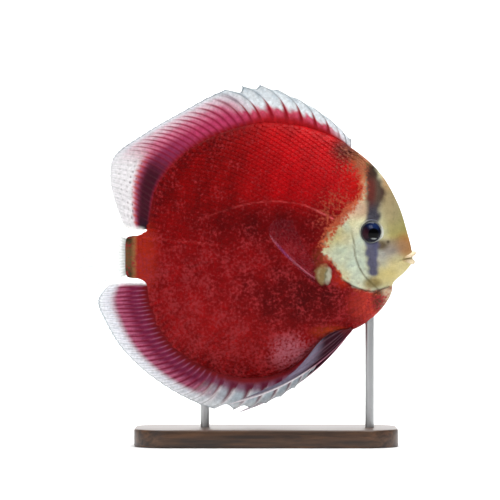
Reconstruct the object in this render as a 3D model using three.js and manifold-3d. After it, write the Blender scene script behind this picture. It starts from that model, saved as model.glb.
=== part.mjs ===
// A life-size display model of a discus fish, swimming level above a small stand.
// Millimetres, +Z up. The snout points along +X and the fish's left side faces +Y.
// The origin is on the floor, under the middle of the fish's total length.
import * as THREE from "three";
import { ParametricGeometry } from "three/addons/geometries/ParametricGeometry.js";
import { mergeVertices } from "three/addons/utils/BufferGeometryUtils.js";
import Module from "manifold-3d";

const wasm = await Module();
wasm.setup();

// Driving sizes
const GAP = 0.3; // between neighbouring pieces
const FLANK_CENTRE = { x: 9, z: 88 }; // the disc's outline is measured round this point
const BODY_HALF_DEPTH = 46; // how far in from the outline a flank reaches its full thickness
const SNOUT_HALF_DEPTH = 7;
const SNOUT_ANGLE = -4; // direction of the mouth from the flank's centre, in degrees
const SNOUT_SPREAD = 20; // degrees to each side over which the snout stays thick up to its tip
const DOME = { blunt: 0.5, lean: 0.72, from: 50, to: 100 }; // blunt at the head, leaner past these degrees
const RIM_HALF = 0.9; // half thickness of the body's edge, which carries the fins
const STALK_HALF = 3.2; // the same where the tail stalk grows from the body
const STALK_BLEND = { from: 5, to: 22, middle: -4 }; // degrees from the stalk over which one becomes the other
const STALK_CUT_X = -42.3; // where the tail stalk leaves the trunk
const EYE = { x: 57.7, z: 95.7, radius: 5.2, depth: 3.3, proud: 1.7, turn: 14, rimOut: 0.4, rimTube: 0.75 };
const MOUTH = { frontX: 77.1, cornerX: 70.6, frontZ: 84.4, cornerZ: 83.2, halfWidth: 5.3 };
const LIP_RADIUS = 1.35;
const NOSTRIL = { x: 65.6, z: 91.4, radius: 0.8 };
const BASE = { length: 118, width: 56, height: 8, corner: 16, centreX: 11 };
const ROD_RADIUS = 2;
const BASE_BEVEL = 0.8;
// Gill covers and the cheek below them, as shares of the body's thickness
const COVER = { proud: 1.035, inner: 0.85, core: 0.82 };
const FAR = 40; // across the fish, well past both flanks

const degrees = THREE.MathUtils.degToRad;
const lerp = THREE.MathUtils.lerp;
const smoothstep = THREE.MathUtils.smoothstep;
const clamp = THREE.MathUtils.clamp;

// The fish's own outline without fins, anticlockwise from the upper lip, as [x, z].
const OUTLINE = [
  [76.8, 86], [74.5, 95.9], [70.4, 108.5], [62.3, 122.4], [50.2, 133.2], [33.1, 141.8],
  [10.6, 144.9], [-11.9, 139.1], [-28.6, 128.3], [-38.4, 114.8], [-41.7, 100], [-42, 85],
  [-41.7, 66], [-34, 48.2], [-19.6, 36.5], [1.6, 30.2], [19.6, 33.3], [29.9, 41],
  [40.7, 49.5], [52, 52.7], [62.3, 60.5], [67.4, 68.4], [68.2, 72.8], [73.2, 77.6], [76.6, 82],
];

// Half thickness seen from above, as [x, half thickness].
const THICKNESS = [
  [-60, 3], [-52, 3.6], [-44, 4.6], [-30, 7.6], [-10, 11], [10, 13.2], [30, 14.4],
  [44, 14.3], [54, 12.7], [62, 10.2], [70, 6.8], [75, 5.1], [79, 4.2],
];

// A smooth value through a list of [position, ...values], read at one position.
function readKeys(keys, at) {
  const last = keys.length - 1;
  const t = clamp(at, keys[0][0], keys[last][0]);
  let i = 0;
  while (i < last - 1 && keys[i + 1][0] < t) i += 1;
  const span = keys[i + 1][0] - keys[i][0];
  const f = (t - keys[i][0]) / span;
  return keys[i].slice(1).map((from, k) => {
    const to = keys[i + 1][k + 1];
    const slope = (a, b) => (keys[b][k + 1] - keys[a][k + 1]) / (keys[b][0] - keys[a][0]);
    const m0 = slope(Math.max(i - 1, 0), i + 1) * span;
    const m1 = slope(i, Math.min(i + 2, last)) * span;
    const f2 = f * f;
    const f3 = f2 * f;
    const ends = (2 * f3 - 3 * f2 + 1) * from + (3 * f2 - 2 * f3) * to;
    return ends + (f3 - 2 * f2 + f) * m0 + (f3 - f2) * m1;
  });
}

// The outline's distance from the flank's centre in each direction.
function smoothCurve(points, closed = false) {
  return new THREE.CatmullRomCurve3(points.map(([x, z]) => new THREE.Vector3(x, 0, z)), closed, "centripetal");
}
const outlineKeys = smoothCurve(OUTLINE, true)
  .getPoints(720)
  .slice(0, -1)
  .map((p) => [p.x - FLANK_CENTRE.x, p.z - FLANK_CENTRE.z])
  .map(([x, z]) => [Math.atan2(z, x), Math.hypot(x, z)])
  .sort((a, b) => a[0] - b[0]);

function outlineRadius(angle) {
  const a = Math.atan2(Math.sin(angle), Math.cos(angle));
  const after = outlineKeys.findIndex((k) => k[0] > a);
  const to = outlineKeys[Math.max(after, 0)];
  const from = outlineKeys[(Math.max(after, 0) + outlineKeys.length - 1) % outlineKeys.length];
  const turn = 2 * Math.PI;
  const width = (to[0] - from[0] + turn) % turn;
  return lerp(from[1], to[1], ((a - from[0] + turn) % turn) / (width || 1));
}

function outlinePoint(angle, outwards = 0) {
  const reach = outlineRadius(angle) + outwards;
  return new THREE.Vector3(
    FLANK_CENTRE.x + Math.cos(angle) * reach, 0, FLANK_CENTRE.z + Math.sin(angle) * reach);
}

// Half thickness of the body at a place given by its direction and share of the way out.
function halfThickness(angle, share) {
  const turned = THREE.MathUtils.radToDeg(Math.atan2(Math.sin(angle), Math.cos(angle)));
  const reach = outlineRadius(angle);
  const x = FLANK_CENTRE.x + Math.cos(angle) * reach * share;
  const snout = Math.exp(-(((turned - SNOUT_ANGLE) / SNOUT_SPREAD) ** 2));
  const depth = lerp(BODY_HALF_DEPTH, SNOUT_HALF_DEPTH, snout);
  const sharpness = lerp(DOME.blunt, DOME.lean, smoothstep(Math.abs(turned), DOME.from, DOME.to));
  const inwards = Math.min((reach * (1 - share)) / depth, 1);
  const [full] = readKeys(THICKNESS, x);
  const fromStalk = Math.abs(180 - Math.abs(turned - STALK_BLEND.middle));
  const rim = lerp(STALK_HALF, RIM_HALF, smoothstep(fromStalk, STALK_BLEND.from, STALK_BLEND.to));
  return rim + (full - rim) * (1 - (1 - inwards) ** 2) ** sharpness;
}

// Half thickness of the body at a place given by x and z.
function bodyHalfAt(x, z) {
  const angle = Math.atan2(z - FLANK_CENTRE.z, x - FLANK_CENTRE.x);
  const share = Math.hypot(x - FLANK_CENTRE.x, z - FLANK_CENTRE.z) / outlineRadius(angle);
  return share < 1 ? halfThickness(angle, share) : 0;
}

// Solids from three.js geometry, and back
function solidOf(geometry) {
  const loose = geometry.index ? geometry.toNonIndexed() : geometry;
  const bare = new THREE.BufferGeometry().setAttribute("position", loose.getAttribute("position"));
  const merged = mergeVertices(bare, 1e-3);
  const corners = [];
  const index = merged.index.array;
  for (let i = 0; i < index.length; i += 3) {
    const [a, b, c] = [index[i], index[i + 1], index[i + 2]];
    if (a !== b && b !== c && c !== a) corners.push(a, b, c);
  }
  const make = (triangles) =>
    new wasm.Manifold(
      new wasm.Mesh({
        numProp: 3,
        vertProperties: new Float32Array(merged.attributes.position.array),
        triVerts: new Uint32Array(triangles),
      }));
  const made = make(corners);
  return made.volume() > 0 ? made : make(corners.slice().reverse());
}

function largestOf(solid) {
  return solid.decompose().sort((a, b) => b.volume() - a.volume())[0];
}

const fish = new THREE.Group();

function addNode(name, solid, colour, roughness, metalness = 0) {
  const mesh = largestOf(solid).getMesh();
  const geometry = new THREE.BufferGeometry();
  geometry.setAttribute("position", new THREE.BufferAttribute(mesh.vertProperties, mesh.numProp));
  geometry.setIndex(new THREE.BufferAttribute(mesh.triVerts, 1));
  const material = new THREE.MeshStandardMaterial({ color: colour, roughness, metalness });
  const node = new THREE.Mesh(geometry, material);
  node.name = name;
  fish.add(node);
}

const placed = (geometry, x, y, z) => solidOf(geometry.clone().translate(x, y, z));

// The disc of head and trunk: two domed flanks that meet in a narrow rim
const DISC_SLICES = 76;
const FLANK_ROWS = 9;
const ROW_CROWDING = 0.9;
const discGeometry = new ParametricGeometry(
  (u, v, target) => {
    const angle = u * 2 * Math.PI;
    const row = v * (2 * FLANK_ROWS + 1);
    const side = row <= FLANK_ROWS ? 1 : -1;
    const fromCentre = (side > 0 ? row : 2 * FLANK_ROWS + 1 - row) / FLANK_ROWS;
    const share = Math.sin((fromCentre * Math.PI) / 2) ** ROW_CROWDING;
    const reach = outlineRadius(angle) * share;
    target.set(
      FLANK_CENTRE.x + Math.cos(angle) * reach,
      side * halfThickness(angle, share),
      FLANK_CENTRE.z + Math.sin(angle) * reach);
  },
  DISC_SLICES,
  2 * FLANK_ROWS + 1);

// The tail stalk: oval sections from inside the trunk to the root of the tail fin,
// as [x, middle z, half height]
const STALK_SECTIONS = [
  [-34, 84.5, 9.6], [-42, 84.6, 9.9], [-46, 84.6, 9.7], [-50.6, 84.6, 9.1], [-51.8, 84.6, 8.7],
];
const STALK_STEPS = 12;
const stalkGeometry = new ParametricGeometry(
  (u, v, target) => {
    const along = clamp((v * STALK_STEPS - 1) / (STALK_STEPS - 2), 0, 1);
    const x = lerp(STALK_SECTIONS[0][0], STALK_SECTIONS.at(-1)[0], along);
    const [middle, half] = readKeys(STALK_SECTIONS.map(([at, ...rest]) => [-at, ...rest]), -x);
    const open = v <= 0 || v >= 1 ? 0 : 1;
    const angle = u * 2 * Math.PI;
    const wide = STALK_HALF * lerp(1.1, 0.72, smoothstep(-x, 40, 52));
    target.set(x, open * wide * Math.cos(angle), middle + open * half * Math.sin(angle));
  },
  28,
  STALK_STEPS);

const flesh = solidOf(discGeometry).add(solidOf(stalkGeometry));

// A prism over a closed outline in the side view, as long across the fish as asked for
function sidePrism(points, fromY, toY) {
  const shape = new THREE.Shape(points.map(([x, z]) => new THREE.Vector2(x, z)));
  const geometry = new THREE.ExtrudeGeometry(shape, { depth: toY - fromY, bevelEnabled: false });
  return solidOf(geometry.rotateX(Math.PI / 2).translate(0, toY, 0));
}

// A thin wall that follows a line in the side view
function cuttingWall(line, fromY, toY, width = GAP) {
  const points = smoothCurve(line).getPoints(line.length * 2);
  const sideOf = (i, side) => {
    const next = points[Math.min(i + 1, points.length - 1)];
    const along = next.clone().sub(points[Math.max(i - 1, 0)]).normalize();
    const off = (side * width) / 2;
    return [points[i].x - along.z * off, points[i].z + along.x * off];
  };
  const there = points.map((_, i) => sideOf(i, 1));
  const back = points.map((_, i) => sideOf(i, -1)).reverse();
  return sidePrism([...there, ...back], fromY, toY);
}

// Where the head ends: from the nape, behind the gill cover and under it to the throat
const HEAD_LINE = [
  [52, 150], [49.5, 132], [43.5, 115], [38.2, 102], [36.2, 92], [38, 84], [43.5, 76.5], [50.5, 71.7],
  [58.5, 69.6], [66, 71.6], [80, 74.5],
];
// The groove in front of the gill cover
const CHEEK_LINE = [[41, 108.5], [47.6, 101.5], [50.2, 92], [51.2, 84], [55, 76.4], [61.5, 70.2]];

const stalkCut = placed(new THREE.BoxGeometry(GAP, 60, 40), STALK_CUT_X + GAP / 2, 0, 84.5);
const parts = flesh
  .subtract(cuttingWall(HEAD_LINE, -FAR, FAR))
  .subtract(stalkCut)
  .decompose()
  .sort((a, b) => b.volume() - a.volume());
const [trunk, wholeHead, stalk] = parts;

// The gill covers: plates a little proud of the cheek, over a core that stays with the head
const coverOutline = (() => {
  const flat = (p) => [p.x, p.z];
  const frontPoints = smoothCurve(CHEEK_LINE).getPoints(12).map(flat);
  const rearPoints = smoothCurve(HEAD_LINE.slice(2, 10)).getPoints(18).map(flat);
  const inside = rearPoints.filter(([x, z]) => z < CHEEK_LINE[0][1] && x < CHEEK_LINE.at(-1)[0]);
  return [...frontPoints.reverse(), ...inside];
})();
const coverRegion = sidePrism(coverOutline, -FAR, FAR);
const headLineWall = cuttingWall(HEAD_LINE, -FAR, FAR, 2 * GAP);
const cheekWall = cuttingWall(CHEEK_LINE, -FAR, FAR, 2 * GAP);
const coverShell = flesh
  .scale([1, COVER.proud, 1])
  .intersect(coverRegion)
  .subtract(flesh.scale([1, COVER.inner, 1]))
  .subtract(headLineWall)
  .subtract(cheekWall);
const coverPieces = coverShell.decompose().sort((a, b) => b.volume() - a.volume()).slice(0, 2);
const headCore = wholeHead.intersect(flesh.scale([1, COVER.core, 1]));
let head = wholeHead.subtract(coverRegion).add(headCore);

// The mouth: a slit between two thick lips, each a tapered roll bent round the snout
function lipRoll(frontX, frontZ, cornerZ, radius) {
  const sides = 8;
  const steps = 12;
  const path = (t) => {
    const bend = t * Math.PI;
    const forward = Math.sin(bend) ** 0.8;
    return new THREE.Vector3(
      lerp(MOUTH.cornerX, frontX, forward),
      -Math.cos(bend) * MOUTH.halfWidth,
      lerp(cornerZ, frontZ, Math.sin(bend)));
  };
  return solidOf(
    new ParametricGeometry(
      (u, v, target) => {
        const t = clamp((v * (steps + 2) - 1) / steps, 0, 1);
        const centre = path(t);
        const along = path(Math.min(t + 0.01, 1)).sub(path(Math.max(t - 0.01, 0))).normalize();
        const up = new THREE.Vector3(0, 0, 1);
        const outwards = new THREE.Vector3().crossVectors(up, along).normalize();
        const open = v <= 0 || v >= 1 ? 0 : lerp(0.5, 1, Math.sin(t * Math.PI));
        target
          .copy(centre)
          .addScaledVector(outwards, open * radius * Math.cos(u * 2 * Math.PI))
          .addScaledVector(up, open * radius * Math.sin(u * 2 * Math.PI));
      },
      sides,
      steps + 2));
}
const mouthSlit = sidePrism(
  [
    [MOUTH.cornerX, MOUTH.cornerZ - 0.1], [MOUTH.frontX + 6, MOUTH.frontZ - 0.35],
    [MOUTH.frontX + 6, MOUTH.frontZ + 0.65], [MOUTH.cornerX, MOUTH.cornerZ + 0.5],
  ],
  -12,
  12);
const tongueShape = new THREE.SphereGeometry(1, 16, 8).scale(7, MOUTH.halfWidth - 0.9, 2.4);
const tongue = placed(tongueShape, MOUTH.cornerX - 2, 0, MOUTH.frontZ);
head = head
  .subtract(mouthSlit.subtract(tongue))
  .add(lipRoll(MOUTH.frontX + 0.35, MOUTH.frontZ + 1.6, MOUTH.cornerZ + 1.0, LIP_RADIUS * 0.88))
  .add(lipRoll(MOUTH.frontX - 0.35, MOUTH.frontZ - 1.8, MOUTH.cornerZ - 0.8, LIP_RADIUS));

// Eyes, each a low dome in a socket with a raised rim; nostrils
const sides = [["right", -1], ["left", 1]];
for (const [side, sign] of sides) {
  const surface = bodyHalfAt(EYE.x, EYE.z);
  const turn = -sign * degrees(EYE.turn); // the cheek narrows towards the snout
  const ball = (grow) =>
    new THREE.SphereGeometry(1, 20, 10)
      .rotateX(Math.PI / 2)
      .scale(EYE.radius + grow, EYE.depth + grow, EYE.radius + grow)
      .rotateZ(turn);
  const eyeY = sign * (surface + EYE.proud - EYE.depth);
  const rim = new THREE.TorusGeometry(EYE.radius + EYE.rimOut, EYE.rimTube, 6, 20)
    .rotateX(Math.PI / 2)
    .scale(1, 1.1, 1)
    .rotateZ(turn);
  head = head
    .add(placed(rim, EYE.x, sign * (surface - 0.25), EYE.z))
    .subtract(placed(ball(GAP), EYE.x, eyeY, EYE.z));
  const pit = new THREE.SphereGeometry(NOSTRIL.radius, 10, 8).scale(0.9, 1.2, 1.4);
  head = head.subtract(placed(pit, NOSTRIL.x, sign * bodyHalfAt(NOSTRIL.x, NOSTRIL.z), NOSTRIL.z));
  addNode(`eye_${side}`, placed(ball(0), EYE.x, eyeY, EYE.z), "#0b0f1d", 0.12);
}

addNode("head", head, "#c4bf93", 0.45);
addNode("trunk", trunk, "#8f0d12", 0.45);
addNode("tail_stalk", stalk, "#9a1f14", 0.45);
for (const [side, sign] of sides) {
  const piece = coverPieces.find((p) => p.boundingBox().max[1] * sign > FAR / 8);
  addNode(`gill_cover_${side}`, piece, "#cfcaa2", 0.4);
}

// A fin: a thin sheet whose rays stand up as ridges in its own surface.
// point(ray, share) is the sheet's middle surface: ray is a number along the fin, and share runs
// from the root to the edge. A ridge is as wide as two of the columns beside its ray.
const RIDGE_FOOT = 0.24;
function finSheet({ firstRay, lastRay, rows, point, half, ridge, notch }) {
  const columns = [];
  const addColumn = (ray, crest, reach) => {
    if (ray >= firstRay && ray <= lastRay) columns.push({ ray, crest, reach });
  };
  if (firstRay % 1 > 0) addColumn(firstRay, 0, 1 - 0.7 * notch(firstRay + 0.5));
  for (let ray = Math.ceil(firstRay); ray <= lastRay; ray += 1) {
    addColumn(ray - RIDGE_FOOT, 0, 1 - notch(ray));
    addColumn(ray, 1, 1);
    addColumn(ray + RIDGE_FOOT, 0, 1 - 0.35 * notch(ray + 1));
  }
  if (lastRay % 1 > 0) addColumn(lastRay, 0, 1 - 0.7 * notch(lastRay + 0.5));
  const positions = [];
  for (const face of [1, -1]) {
    for (const column of columns) {
      for (let row = 0; row <= rows; row += 1) {
        const share = (row / rows) * column.reach;
        const thick = half(column.ray, share) + column.crest * ridge(column.ray, share);
        const at = point(column.ray, share);
        if (column.ray % 1 === 0.5) {
          const inner = column.ray === firstRay ? 0.3 : -0.3;
          const inwards = point(column.ray + inner, share).sub(at).normalize();
          at.addScaledVector(inwards, GAP / 2);
        }
        at.y += face * thick;
        positions.push(at.x, at.y, at.z);
      }
    }
  }
  const wide = columns.length;
  const at = (face, column, row) => (face * wide + column) * (rows + 1) + row;
  const index = [];
  const quad = (a, b, c, d) => index.push(a, b, c, a, c, d);
  for (let c = 0; c < wide - 1; c += 1) {
    for (let r = 0; r < rows; r += 1) {
      quad(at(0, c, r), at(0, c + 1, r), at(0, c + 1, r + 1), at(0, c, r + 1));
      index.push(at(1, c, r), at(1, c + 1, r + 1), at(1, c + 1, r));
      index.push(at(1, c, r), at(1, c, r + 1), at(1, c + 1, r + 1));
    }
    quad(at(0, c, 0), at(1, c, 0), at(1, c + 1, 0), at(0, c + 1, 0));
    quad(at(0, c, rows), at(0, c + 1, rows), at(1, c + 1, rows), at(1, c, rows));
  }
  for (let r = 0; r < rows; r += 1) {
    quad(at(0, 0, r), at(0, 0, r + 1), at(1, 0, r + 1), at(1, 0, r));
    quad(at(0, wide - 1, r), at(1, wide - 1, r), at(1, wide - 1, r + 1), at(0, wide - 1, r + 1));
  }
  const geometry = new THREE.BufferGeometry();
  geometry.setAttribute("position", new THREE.Float32BufferAttribute(positions, 3));
  geometry.setIndex(index);
  return solidOf(geometry);
}

// A ray's line: from its root to its tip, bowed towards the fish's head by a share of its length
function rayPoint(root, tip, bow, share) {
  const chord = tip.clone().sub(root);
  const sideways = new THREE.Vector3(-chord.z, 0, chord.x).multiplyScalar(bow);
  const control = root.clone().lerp(tip, 0.5).add(sideways.multiplyScalar(2));
  return new THREE.QuadraticBezierCurve3(root, control, tip).getPoint(share);
}

// Dorsal and anal fin: rays as [ray number, root direction in degrees, tip x, tip z, bow]
const DORSAL = {
  spines: 9,
  keys: [
    [0, 48.6, 49.3, 137.7, -0.08], [2, 53.6, 38.9, 147.4, -0.12], [4, 64.8, 24.3, 156.4, -0.15],
    [6, 77.5, 6.5, 162.7, -0.17], [8, 89.5, -7.4, 160, -0.16], [14, 112, -28.4, 149.2, -0.13],
    [20, 128.5, -44.1, 140, -0.11], [26, 143.5, -57.2, 130.5, -0.1], [31, 157, -59.4, 121.2, -0.07],
    [35, 164.5, -57.6, 111, -0.03], [38, 169.6, -53.1, 98.4, 0.09],
  ],
};
const ANAL = {
  spines: 8,
  keys: [
    [0, -55.5, 31.7, 32.9, 0.08], [2, -67, 23.2, 24.8, 0.11], [4, -80.5, 10.1, 18, 0.14],
    [6, -93.5, -4.5, 15.2, 0.15], [8, -106, -18.7, 18.2, 0.13], [14, -124, -39, 29.5, 0.1],
    [20, -138, -53.5, 42.8, 0.08], [26, -151, -62, 56.5, 0.05], [31, -159, -64.8, 65.4, 0.02],
    [34, -163.4, -60, 72.4, -0.04],
  ],
};

function medianFin({ spines, keys }) {
  return {
    rows: 4,
    point: (ray, share) => {
      const [rootAngle, tipX, tipZ, bow] = readKeys(keys, ray);
      const root = outlinePoint(degrees(rootAngle), GAP);
      return rayPoint(root, new THREE.Vector3(tipX, 0, tipZ), bow, share);
    },
    half: (ray, share) => lerp(0.75, 0.28, share ** 0.7),
    ridge: (ray, share) => (ray < spines ? 0.42 : 0.3) * (1 - share) ** 0.5,
    notch: (ray) => (ray <= spines ? 0.24 : 0.05),
  };
}
const split = (name, fin, cuts, colour) =>
  cuts.forEach(([part, firstRay, lastRay]) => {
    addNode(`${name}_${part}`, finSheet({ ...medianFin(fin), firstRay, lastRay }), colour, 0.4);
  });
split("dorsal_fin", DORSAL, [["spines", 0, 8.5], ["middle", 8.5, 23.5], ["rear", 23.5, 38]], "#c9708a");
split("anal_fin", ANAL, [["spines", 0, 7.5], ["middle", 7.5, 20.5], ["rear", 20.5, 34]], "#b0566f");

// Tail fin: a fan of rays from the end of the stalk
const TAIL = {
  rays: 15,
  rootX: -52.1,
  rootZ: [76.4, 93],
  rootBulge: 0.6,
  tips: [[0, -72.8, 66.8], [3, -76.9, 74], [7, -78.7, 84.2], [11, -76.9, 94.6], [14, -72.8, 101]],
};
addNode(
  "tail_fin",
  finSheet({
    firstRay: 0,
    lastRay: TAIL.rays - 1,
    rows: 4,
    point: (ray, share) => {
      const across = ray / (TAIL.rays - 1);
      const rootX = TAIL.rootX - TAIL.rootBulge * Math.sin(across * Math.PI);
      const root = new THREE.Vector3(rootX, 0, lerp(...TAIL.rootZ, across));
      const [x, z] = readKeys(TAIL.tips, ray);
      return rayPoint(root, new THREE.Vector3(x, 0, z), 0, share);
    },
    half: (ray, share) => lerp(0.9, 0.27, share ** 0.6),
    ridge: (ray, share) => 0.3 * (1 - share) ** 0.5,
    notch: () => 0.03,
  }),
  "#e6ecea",
  0.35);

// Breast and arm fins stand off the flank, one on each side
const PECTORAL = {
  rays: 11,
  root: [[0, 33.9, 80.6], [10, 32.7, 73]],
  tips: [[0, 22.5, 101.4], [3, 15.6, 102], [6, 11.7, 97.9], [8, 13.4, 92], [10, 19, 85.4]],
  spread: 11,
  cup: 1.2,
  lobe: { x: 36.4, z: 77.2, wide: 3.8, tall: 5.5, proud: 2.6, lean: -8 },
};
const PELVIC = {
  rays: 6,
  root: [[0, 50, 51.3], [5, 45.8, 51.2]],
  tips: [[0, -6, 18.5], [1, 15, 27.6], [2, 20.2, 31], [3, 25, 35], [5, 32, 42.5]],
  rootY: 4.4,
  spread: 3.2,
};
// The body with a gap all round, which is cut from what grows out of it
const clearFlesh = flesh
  .scale([1, 1.03, 1])
  .add(flesh.translate([0, GAP, 0]))
  .add(flesh.translate([0, -GAP, 0]));

for (const [side, sign] of sides) {
  const armRootY = bodyHalfAt(PECTORAL.root[0][1], PECTORAL.lobe.z) - 0.4;
  const armPoint = (ray, share) => {
    const [rootX, rootZ] = readKeys(PECTORAL.root, ray);
    const [tipX, tipZ] = readKeys(PECTORAL.tips, ray);
    const line = rayPoint(new THREE.Vector3(rootX, 0, rootZ), new THREE.Vector3(tipX, 0, tipZ), 0.04, share);
    const cup = PECTORAL.cup * Math.sin((ray / (PECTORAL.rays - 1)) * Math.PI);
    line.y = sign * (armRootY + PECTORAL.spread * share ** 0.85 - cup * share);
    return line;
  };
  const { lobe } = PECTORAL;
  const lobeY = sign * (bodyHalfAt(lobe.x, lobe.z) - 0.6);
  const lobeShape = new THREE.SphereGeometry(1, 16, 10)
    .scale(lobe.wide, lobe.proud, lobe.tall)
    .rotateY(degrees(lobe.lean));
  const root = placed(lobeShape, lobe.x, lobeY, lobe.z);
  const fan = finSheet({
    firstRay: 0,
    lastRay: PECTORAL.rays - 1,
    rows: 4,
    point: armPoint,
    half: (ray, share) => lerp(0.5, 0.26, share),
    ridge: (ray, share) => 0.26 * (1 - share) ** 0.5,
    notch: () => 0.03,
  });
  addNode(`pectoral_fin_${side}`, root.add(fan).subtract(clearFlesh), "#d8cfa8", 0.4);
}

for (const [side, sign] of sides) {
  const droop = side === "left" ? degrees(5) : 0; // the left fin hangs a little lower
  const pivot = new THREE.Vector3(PELVIC.root[0][1], 0, PELVIC.root[0][2]);
  const pelvicPoint = (ray, share) => {
    const [rootX, rootZ] = readKeys(PELVIC.root, ray);
    const [tipX, tipZ] = readKeys(PELVIC.tips, ray);
    const bow = lerp(0.09, 0.03, Math.min(ray / 2, 1));
    const line = rayPoint(new THREE.Vector3(rootX, 0, rootZ), new THREE.Vector3(tipX, 0, tipZ), bow, share);
    line.sub(pivot).applyAxisAngle(new THREE.Vector3(0, 1, 0), -droop).add(pivot);
    line.y = sign * (PELVIC.rootY + PELVIC.spread * share);
    return line;
  };
  const fan = finSheet({
    firstRay: 0,
    lastRay: PELVIC.rays - 1,
    rows: 7,
    point: pelvicPoint,
    half: (ray, share) => lerp(0.6, 0.27, share),
    ridge: (ray, share) => (ray === 0 ? 0.4 : 0.25) * (1 - share) ** 0.4,
    notch: () => 0.04,
  });
  addNode(`pelvic_fin_${side}`, fan.subtract(clearFlesh), "#5b2a3e", 0.4);
}

// Stand: a flat base and two rods, one to the breast and one to the far flank beside the anal fin
const baseShape = new THREE.Shape();
const halfLength = BASE.length / 2 - BASE_BEVEL;
const halfWidth = BASE.width / 2 - BASE_BEVEL;
const corner = BASE.corner;
baseShape.absarc(halfLength - corner, halfWidth - corner, corner, 0, Math.PI / 2);
baseShape.absarc(corner - halfLength, halfWidth - corner, corner, Math.PI / 2, Math.PI);
baseShape.absarc(corner - halfLength, corner - halfWidth, corner, Math.PI, 1.5 * Math.PI);
baseShape.absarc(halfLength - corner, corner - halfWidth, corner, 1.5 * Math.PI, 2 * Math.PI);
const baseGeometry = new THREE.ExtrudeGeometry(baseShape, {
  depth: BASE.height - 2 * BASE_BEVEL,
  bevelThickness: BASE_BEVEL,
  bevelSize: BASE_BEVEL,
  bevelSegments: 1,
  curveSegments: 6,
});
addNode("stand_base", placed(baseGeometry, BASE.centreX, 0, BASE_BEVEL), "#3a2618", 0.4);

// Rods as [name, x, y, height before the body is cut from them]
const RODS = [["front", 57.6, 0, 72], ["rear", -16.5, 4.2, 62]];
for (const [name, x, y, topZ] of RODS) {
  const bottom = BASE.height + GAP;
  const rod = new THREE.CylinderGeometry(ROD_RADIUS, ROD_RADIUS, topZ - bottom, 16).rotateX(Math.PI / 2);
  const cut = placed(rod, x, y, (topZ + bottom) / 2)
    .subtract(clearFlesh)
    .subtract(flesh.translate([0, 0, -GAP]));
  const lowest = cut.decompose().sort((a, b) => a.boundingBox().min[2] - b.boundingBox().min[2])[0];
  addNode(`stand_rod_${name}`, lowest, "#b8babd", 0.25, 1);
}

export default fish;
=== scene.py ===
# %% [markdown]
# A discus is a freshwater fish as round and flat as a plate. This file dresses its solid
# model: a seamless skin, a coat of real scales, rayed fins, glass eyes and a small stand.
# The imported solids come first, because every piece below is placed in their frame.

# %% Load the frame
import math

import bpy
import numpy as np
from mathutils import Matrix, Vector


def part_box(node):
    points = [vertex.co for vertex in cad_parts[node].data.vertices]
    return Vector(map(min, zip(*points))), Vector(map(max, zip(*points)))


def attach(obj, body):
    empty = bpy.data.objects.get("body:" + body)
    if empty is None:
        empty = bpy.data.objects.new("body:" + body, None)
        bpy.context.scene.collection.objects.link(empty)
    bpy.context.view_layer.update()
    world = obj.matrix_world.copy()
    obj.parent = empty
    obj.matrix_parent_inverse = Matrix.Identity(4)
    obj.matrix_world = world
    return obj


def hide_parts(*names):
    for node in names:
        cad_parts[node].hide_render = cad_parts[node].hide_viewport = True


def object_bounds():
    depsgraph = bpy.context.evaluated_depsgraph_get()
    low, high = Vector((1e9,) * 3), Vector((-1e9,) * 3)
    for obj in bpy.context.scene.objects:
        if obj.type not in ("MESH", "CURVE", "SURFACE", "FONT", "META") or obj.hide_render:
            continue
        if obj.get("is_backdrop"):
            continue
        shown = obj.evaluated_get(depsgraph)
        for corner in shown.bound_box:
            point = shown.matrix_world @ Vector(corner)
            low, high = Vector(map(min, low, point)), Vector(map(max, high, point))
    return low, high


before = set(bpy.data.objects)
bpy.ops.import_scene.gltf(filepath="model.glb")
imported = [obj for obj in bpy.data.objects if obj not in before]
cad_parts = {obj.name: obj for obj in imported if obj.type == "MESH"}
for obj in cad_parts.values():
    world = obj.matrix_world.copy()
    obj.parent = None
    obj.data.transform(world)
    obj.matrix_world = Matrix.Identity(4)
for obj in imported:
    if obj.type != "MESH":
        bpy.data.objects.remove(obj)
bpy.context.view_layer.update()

MM = 0.001

# %% [markdown]
# Sizes are in millimetres, as on a drawing, and turned to metres when a mesh is written.
# The snout points along +X, the fish's left side faces +Y, and Z is height above the floor.
# The body is measured round one point in the middle of the flank, so its outline is a
# distance in each direction. That suits a disc better than slices along its length.

# %% Driving sizes
FLANK_X, FLANK_Z = 9.0, 88.0
RIM_HALF, STALK_HALF = 0.9, 3.2
BODY_DEPTH, SNOUT_DEPTH, SNOUT_ANGLE, SNOUT_SPREAD = 46.0, 7.0, -4.0, 20.0
COAT_DEPTH = 0.28
FACE_COAT_DEPTH = 0.12
EYE_X, EYE_Z, EYE_RADIUS, EYE_DEPTH, EYE_PROUD, EYE_TURN = 57.7, 95.7, 5.2, 3.3, 1.7, -14.0
MOUTH_CORNER = (70.6, 83.2)
MOUTH_HALF_WIDTH, LIP_RADIUS = 5.3, 1.35
NOSTRIL = (65.6, 91.4)
SCALE_PITCH, FACE_PITCH = 1.95, 1.2
SIDES = (("right", -1.0), ("left", 1.0))

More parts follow.
